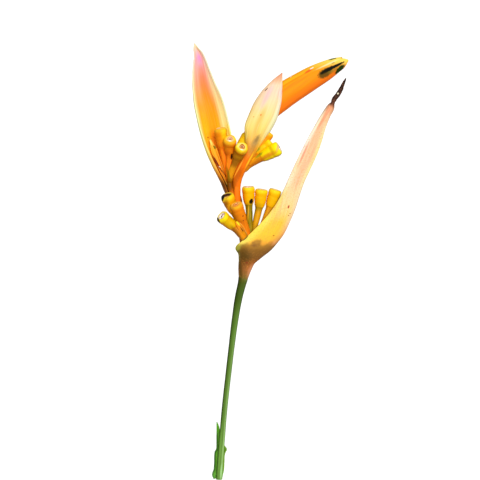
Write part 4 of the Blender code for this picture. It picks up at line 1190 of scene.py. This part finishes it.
LOWER_BRACT_MARKS = (
    # Painted light on the right of the neck and painted shade on its left.
    (-10.0, -4.6, 7.0, 2.0, 68, (228, 152, 106), 0.6, 1.4),
    (-14.8, -3.6, 9.0, 1.8, 96, (74, 60, 10), 0.85, 1.4),
    (-13.4, -3.8, 8.0, 3.6, 96, (116, 76, 26), 0.6, 1.5),
    # The next five shape the painted shade near the base and over the belly, and its uneven upper border.
    (-12.8, 3.6, 5.0, 8.0, 20, (72, 54, 8), 0.6, 1.5),
    (-6.6, 9.4, 5.6, 3.4, 20, (120, 76, 32), 0.65, 0.8),
    (2.2, 9.6, 3.4, 1.6, 45, (244, 166, 104), 0.5, 1.2),
    (-3.0, 9.6, 3.4, 2.2, 30, (255, 174, 54), 0.6, 1.2),
    (0.4, 9.4, 2.6, 2.4, 0, (196, 122, 50), 0.5, 1.2),
    (27.0, 72.0, 13.0, 1.3, 58, SALMON, 0.6, 1.2),
    (24.4, 70.4, 14.0, 1.2, 60, CREAM, 0.6, 1.4),
    (16.8, 54.0, 13.0, 1.0, 66, SALMON, 0.75, 1.2),
    (20.6, 53.0, 12.0, 1.4, 66, SALMON, 0.35, 1.2),
    (9.3, 27.6, 1.7, 0.8, 70, (176, 40, 24), 0.9, 0.6),
    (10.0, 24.2, 0.8, 0.6, 0, RUST, 0.7, 0.8),
    (9.3, 23.2, 0.7, 0.6, 0, RUST, 0.7, 0.8),
    (1.8, 13.2, 1.0, 0.7, 20, RUST, 0.7, 0.8),
    (-11.6, -0.3, 1.3, 0.7, 0, DARK_RED, 0.7, 0.8),
    (-16.3, 6.9, 4.4, 2.5, 62, (168, 164, 60), 0.85, 0.9),
    (-16.0, 5.0, 3.0, 1.0, 60, (96, 92, 22), 0.7, 1.0),
    (-12.4, 11.8, 3.8, 0.8, 42, DARK_BROWN, 0.85, 0.7),
    (34.0, 84.25, 0.9, 0.7, 60, CREAM, 0.9, 0.6),
)
LEFT_BRACT_MARKS = (
    (-31.0, 62.2, 0.9, 0.6, 100, DARK_RED, 0.8, 0.6),
    (-27.8, 62.1, 0.7, 0.5, 0, RUST, 0.7, 0.6),
    # Painted shade in the crevice at the base, among the stalks.
    (-23.4, 44.2, 5.5, 0.7, 122, DARK_BROWN, 0.85, 0.8),
    (-21.4, 40.0, 7.0, 2.2, 112, OLIVE, 0.8, 1.0),
    (-23.2, 38.4, 5.0, 1.2, 115, (104, 58, 8), 0.7, 1.2),
    (-20.6, 64.4, 10.0, 2.8, 105, (255, 246, 104), 0.85, 1.0),
)
UPPER_BRACT_MARKS = (
    # Painted shade on the left of the base, and a painted highlight line along its left edge.
    (-15.6, 44.0, 7.0, 2.8, 66, (180, 84, 2), 0.75, 1.2),
    (-17.4, 39.6, 6.0, 2.2, 74, (176, 88, 10), 0.6, 1.4),
    (-15.7, 46.9, 11.0, 0.7, 62, (255, 178, 52), 0.85, 0.7),
    # Painted shadow near the base: a khaki patch with a darker core and a paler tail.
    (-7.4, 59.8, 7.8, 3.0, 60, PAINTED_SHADOW_KHAKI, 0.85, 1.2),
    (-6.6, 61.4, 4.0, 1.4, 58, (148, 118, 66), 0.6, 1.0),
    (-9.0, 56.0, 5.0, 2.4, 60, (204, 144, 58), 0.75, 1.1),
    (-12.3, 62.0, 6.0, 1.3, 64, (255, 240, 130), 0.95, 1.0),
    (-10.2, 51.0, 9.0, 0.8, 62, (255, 200, 40), 0.9, 0.9),
    (-1.6, 82.6, 12.0, 2.3, 62, PINK, 0.5, 1.4),
    (5.0, 84.5, 6.0, 1.8, 76, PINK, 0.25, 1.4),
    (-1.8, 86.3, 2.2, 0.5, 44, DARK_BROWN, 0.85, 0.6),
    (-4.6, 73.5, 1.0, 0.7, 60, DEEP_ORANGE, 0.8, 0.8),
    (-8.2, 72.6, 0.7, 0.5, 0, DEEP_ORANGE, 0.6, 0.8),
)
BOAT_MARKS = (
    (27.4, 94.4, 7.4, 4.2, 28, (66, 62, 12), 0.9, 0.6),
    (31.8, 96.2, 6.0, 2.4, 30, (120, 112, 28), 0.6, 1.0),
    (28.6, 96.0, 9.0, 2.0, 30, (26, 26, 2), 0.85, 0.6),
    (31.2, 97.2, 13.6, 1.5, 26, (14, 12, 0), 1.0, 0.4),
    (34.9, 96.3, 6.4, 2.3, 47, (38, 58, 10), 1.0, 0.4),
    (31.5, 99.6, 2.0, 0.8, 25, OLIVE, 0.7, 0.8),
    (19.2, 95.6, 4.2, 0.8, 30, (246, 84, 34), 0.8, 0.8),
    (-12.6, 63.6, 4.6, 3.6, 60, (255, 204, 30), 0.85, 1.2),
    # Painted highlight: a pale streak along the top.
    (29.5, 99.2, 12.0, 0.8, 25, (255, 240, 180), 0.7, 1.2),
)
LID_MARKS = (
    (19.2, 95.6, 4.2, 0.8, 30, (246, 84, 34), 0.8, 0.8),
    (31.4, 101.6, 4.2, 0.9, 16, (76, 90, 50), 0.9, 0.6),
    (36.4, 102.2, 1.6, 0.8, 0, (214, 110, 50), 0.7, 0.8),
    # Painted highlights: small white dashes.
    (20.9, 96.9, 2.2, 0.5, 30, WHITE, 0.9, 0.6),
    (10.4, 92.6, 0.8, 0.4, 40, WHITE, 0.7, 0.8),
)
LOWER_FRUIT_MARKS = (
    (-9.4, 30.3, 2.8, 1.9, 78, NEAR_BLACK, 1.0, 0.4),
    (-21.2, 33.4, 5.0, 2.0, 4, (48, 10, 8), 0.95, 0.6),
    (-23.9, 32.3, 4.4, 2.6, 76, (12, 9, 8), 1.0, 0.5),
    (-10.9, 37.5, 3.6, 0.8, 4, (255, 236, 204), 0.8, 0.8),
    (-10.7, 37.6, 0.8, 0.4, 0, (170, 96, 60), 0.8, 0.8),
    (-4.2, 36.3, 3.4, 0.7, 0, (255, 232, 130), 0.6, 0.9),
    (2.8, 36.3, 3.4, 0.7, -12, (255, 232, 130), 0.6, 0.9),
    (-6.4, 22.0, 10.0, 3.4, 80, (252, 172, 18), 0.6, 1.2),
    (-5.9, 27.6, 4.4, 3.0, 80, (126, 116, 14), 0.35, 1.2),
    (-10.8, 26.5, 6.0, 3.4, 88, (124, 114, 12), 0.5, 1.2),
    (-23.2, 23.9, 1.8, 0.8, 30, (196, 130, 120), 0.7, 0.8),
    (-24.2, 22.2, 1.2, 0.7, 110, (150, 96, 90), 0.6, 0.8),
    (-10.9, 24.0, 9.0, 0.6, 86, GOLD, 0.7, 0.8),
    (-9.2, 23.0, 8.0, 0.5, 88, (92, 84, 10), 0.7, 0.8),
    # Painted shade on a fruit's left flank and along a stalk's lower left edge.
    (-22.0, 29.2, 6.4, 2.2, 80, (152, 88, 8), 0.7, 1.2),
    (-16.8, 14.6, 9.0, 1.8, 128, (146, 84, 20), 0.75, 1.2),
    (-17.2, 28.3, 3.4, 1.6, 12, (226, 120, 60), 0.6, 0.8),
    (-13.5, 23.0, 0.9, 0.6, 60, DARK_RED, 0.8, 0.6),
    (-13.3, 20.7, 0.6, 0.5, 0, DARK_RED, 0.8, 0.6),
    (-26.0, 21.2, 4.4, 1.1, 116, DARK_BROWN, 0.95, 0.6),
)
LEFT_FRUIT_MARKS = (
    (-19.25, 52.8, 2.9, 1.0, 82, NEAR_BLACK, 0.95, 0.5),
    (-19.2, 49.6, 1.2, 0.5, 90, (190, 60, 16), 0.7, 0.8),
    # Painted shade on a fruit's body.
    (-17.5, 50.0, 5.0, 3.4, 60, (150, 92, 10), 0.6, 1.2),
    (-21.4, 54.5, 3.2, 3.0, 90, (200, 84, 10), 0.5, 1.2),
    # Painted shade in the crevice at the foot of the stalks: the dark and olive marks down to the one at y
    # 43.2, but not the orange one.
    (-20.2, 38.4, 8.0, 5.0, 95, (124, 68, 4), 0.85, 1.0),
    (-19.6, 33.8, 3.0, 2.8, 95, (206, 116, 22), 0.7, 1.2),
    (-20.2, 38.4, 3.0, 2.4, 95, (112, 64, 4), 0.8, 1.2),
    (-21.0, 44.0, 7.0, 1.2, 100, (120, 96, 8), 0.75, 1.2),
    (-22.4, 43.2, 1.7, 1.0, 118, (60, 32, 6), 0.85, 0.7),
    (-20.1, 60.6, 1.6, 0.5, -8, WHITE, 0.85, 0.7),
    (-17.5, 61.8, 3.0, 1.4, 120, (255, 226, 40), 0.7, 1.0),
    (-22.8, 64.0, 8.0, 3.2, 95, (255, 210, 22), 0.8, 1.4),
    (-23.6, 66.9, 3.6, 1.6, 15, (255, 206, 50), 0.85, 1.0),
    # Painted highlight on the first fruit's end.
    (-26.2, 67.2, 2.2, 1.5, 40, (255, 246, 200), 0.9, 0.8),
    (-14.1, 56.2, 1.5, 0.4, -14, WHITE, 0.85, 0.7),
    (-15.6, 58.4, 2.4, 1.2, 50, (255, 236, 130), 0.7, 1.0),
    (-13.2, 54.6, 3.4, 1.0, 40, (222, 140, 26), 0.6, 1.0),
    (-14.6, 47.6, 6.0, 1.0, 64, (226, 116, 20), 0.6, 1.0),
)
UPPER_FRUIT_MARKS = (
    (-6.0, 56.2, 3.6, 1.4, 40, LEAF_OLIVE, 0.8, 1.0),
    (-5.4, 53.4, 4.4, 1.2, 38, LEAF_OLIVE, 0.85, 1.0),
    (3.9, 57.5, 4.8, 1.2, 74, (240, 176, 100), 0.8, 0.9),
    (5.0, 57.6, 3.8, 0.9, 74, (255, 232, 214), 0.8, 0.8),
    (4.7, 57.4, 0.9, 0.7, 0, NEAR_BLACK, 0.95, 0.5),
    (-10.1, 48.2, 0.9, 0.6, 0, RUST, 0.9, 0.6),
    # Painted shade along the underside of the first fruit.
    (-6.4, 49.9, 12.0, 1.8, 30, (202, 108, 12), 0.8, 1.0),
    (-0.8, 53.3, 9.0, 2.2, 25, (218, 130, 20), 0.85, 1.2),
    (0.8, 55.9, 5.0, 1.5, 118, (216, 158, 16), 0.6, 1.3),
    (-8.6, 51.6, 4.0, 1.0, 40, (240, 190, 22), 0.8, 1.0),
    (-3.4, 57.8, 3.0, 1.6, 40, (254, 210, 30), 0.6, 1.2),
    (-14.0, 61.6, 9.0, 5.0, 60, (255, 210, 24), 0.9, 1.0),
)
LEFT_SCALE_MARKS = (
    (-29.4, 59.6, 3.0, 0.7, 115, (255, 230, 120), 0.85, 0.8),
    (-27.7, 57.3, 2.2, 0.9, 118, (104, 116, 20), 0.9, 0.6),
    (-26.4, 49.3, 8.6, 1.0, 119, (108, 34, 10), 0.95, 0.6),
    # Painted highlight: a pale fleck on the dark streak.
    (-25.2, 47.6, 1.0, 0.4, 150, (255, 238, 196), 0.85, 0.7),
    (-23.6, 45.0, 4.0, 0.7, 125, (120, 62, 14), 0.8, 0.8),
)
LOWER_SCALE_MARKS = (
    (-16.0, 19.6, 3.0, 1.2, 125, (250, 226, 40), 0.9, 0.8),
    (-13.6, 15.6, 5.0, 0.6, 125, (60, 52, 10), 0.8, 0.6),
)


def make_shell_piece(name, rows, wall, relief, rests=False):
    """One fine shell that stands for the node of its name."""
    return make_piece(name + "_fine", [shell(rows, wall, relief=relief)], name, rests)


def make_fruits(node, stub, fruits, marks):
    """Fruits on their shared stalk, which is coloured like the first fruit's own."""
    base = tube(stub, STALK_STEP, FRUIT_SIDES)
    every = np.ones(len(base["points"]))
    base["fields"].update({"reach": SHARED_REACH * every, "stalk": fruits[0][2] * every})
    piece = make_piece(node + "_fine", [base] + [fruit(*row) for row in fruits], node)
    finish_fruits(piece, marks)


def make_scale(node, rows, marks):
    """Scale that grew beside the fruits."""
    part = shell(rows, THIN_WALL, SCALE_COLUMNS, dry_relief)
    piece = make_piece(node + "_scale_fine", [part], node)
    finish_scale(piece, marks)


def make_open_flower():
    """Boat of joined petals, and the free petal that closes its mouth."""
    rows = flower_rows(-1, BOAT_TURN)
    boat = make_shell_piece("open_flower_boat", rows, THIN_WALL, petal_relief, rests=True)
    finish_petal(boat, PETAL, BOAT_MARKS)
    widths = np.array(OPEN_FLOWER)[:, 3]
    turns = 180.0 - BOAT_TURN - np.degrees(SEAM_WIDTH / (MEAN_REACH * widths))
    rows = flower_rows(1, turns)[1:-1]
    petal = make_shell_piece("open_flower_petal", rows, THIN_WALL, petal_relief)
    finish_petal(petal, LID, LID_MARKS)


def make_floor():
    """Plain pale level floor. It throws less light back than it shows, as under a soft box."""
    reach = FLOOR_REACH * MILLIMETRE
    mesh = bpy.data.meshes.new("floor")
    corners = [(-reach, -reach, 0.0), (reach, -reach, 0.0), (reach, reach, 0.0), (-reach, reach, 0.0)]
    mesh.from_pydata(corners, [], [(0, 1, 2, 3)])
    floor = bpy.data.objects.new("floor", mesh)
    bpy.context.scene.collection.objects.link(floor)
    material = bpy.data.materials.new("floor_paper")
    material.use_nodes = True
    tree = material.node_tree
    shader = tree.nodes["Principled BSDF"]
    shader.inputs["Roughness"].default_value = 0.9
    shader.inputs["Specular IOR Level"].default_value = 0.0
    path = tree.nodes.new("ShaderNodeLightPath")
    colour = tree.nodes.new("ShaderNodeMix")
    colour.data_type = "RGBA"
    colour.inputs[6].default_value = FLOOR_THROWN
    colour.inputs[7].default_value = FLOOR_SEEN
    tree.links.new(path.outputs["Is Camera Ray"], colour.inputs[0])
    tree.links.new(colour.outputs[2], shader.inputs["Base Color"])
    mesh.materials.append(material)
    return floor


def make_light(name, towards, strength, spread, lit):
    """Sun lamp in the direction given, which shines on the objects given and throws soft shadows."""
    lamp = bpy.data.lights.new(name, "SUN")
    lamp.energy = strength
    lamp.angle = np.radians(spread)
    light = bpy.data.objects.new(name, lamp)
    light.rotation_euler = Vector(towards).to_track_quat("Z", "Y").to_euler()
    bpy.context.scene.collection.objects.link(light)
    group = bpy.data.collections.new(name + "_lit")
    for thing in lit:
        group.objects.link(thing)
    light.light_linking.receiver_collection = group


def make_world():
    """Even white surroundings, brighter to the camera than as a light."""
    world = bpy.data.worlds.new("studio")
    bpy.context.scene.world = world
    world.use_nodes = True
    tree = world.node_tree
    background = tree.nodes["Background"]
    background.inputs["Color"].default_value = (1.0, 1.0, 1.0, 1.0)
    path = tree.nodes.new("ShaderNodeLightPath")
    strength = tree.nodes.new("ShaderNodeMix")
    strength.inputs[2].default_value = WORLD_LIGHT
    strength.inputs[3].default_value = 1.0
    tree.links.new(path.outputs["Is Camera Ray"], strength.inputs[0])
    tree.links.new(strength.outputs[0], background.inputs["Strength"])


def make_camera():
    """Camera straight above the flower."""
    camera = bpy.data.objects.new("camera", bpy.data.cameras.new("camera"))
    camera.data.lens = CAMERA_LENS
    camera.data.sensor_width = CAMERA_SENSOR
    camera.data.clip_end = CAMERA_SIGHT * MILLIMETRE
    camera.location = Vector(CAMERA_PLACE) * MILLIMETRE
    bpy.context.scene.collection.objects.link(camera)
    bpy.context.scene.camera = camera


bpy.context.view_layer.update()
bpy.context.scene.view_settings.view_transform = "Standard"
finish_stem(make_piece("stem_fine", [tube(STEM, STEM_STEP, STEM_SIDES, STEM_GROOVES)], "stem"))
finish_sheath(make_shell_piece("leaf_sheath", LEAF_SHEATH, THIN_WALL, None, rests=True))
lowest = make_shell_piece("bract_lower", LOWER_BRACT, BRACT_WALL, lower_bract_relief)
finish_lower_bract(lowest)
left = make_shell_piece("bract_left", LEFT_BRACT, BRACT_WALL, left_bract_relief, rests=True)
finish_left_bract(left)
upper = make_shell_piece("bract_upper", UPPER_BRACT, THIN_WALL, upper_bract_relief)
finish_upper_bract(upper)
make_fruits("fruits_lower", LOWER_STUB, LOWER_FRUITS, LOWER_FRUIT_MARKS)
make_fruits("fruits_left", LEFT_STUB, LEFT_FRUITS, LEFT_FRUIT_MARKS)
make_fruits("fruits_upper", UPPER_STUB, UPPER_FRUITS, UPPER_FRUIT_MARKS)
make_scale("fruits_lower", LOWER_SCALE, LOWER_SCALE_MARKS)
make_scale("fruits_left", LEFT_SCALE, LEFT_SCALE_MARKS)
make_open_flower()
flower = [thing for thing in bpy.context.scene.objects if thing.name.endswith("_fine")]
make_light("key", KEY_FROM, KEY_STRENGTH, KEY_SPREAD, flower)
make_light("floor_light", UP, FLOOR_STRENGTH, FLOOR_SPREAD, [make_floor()])
make_world()
make_camera()
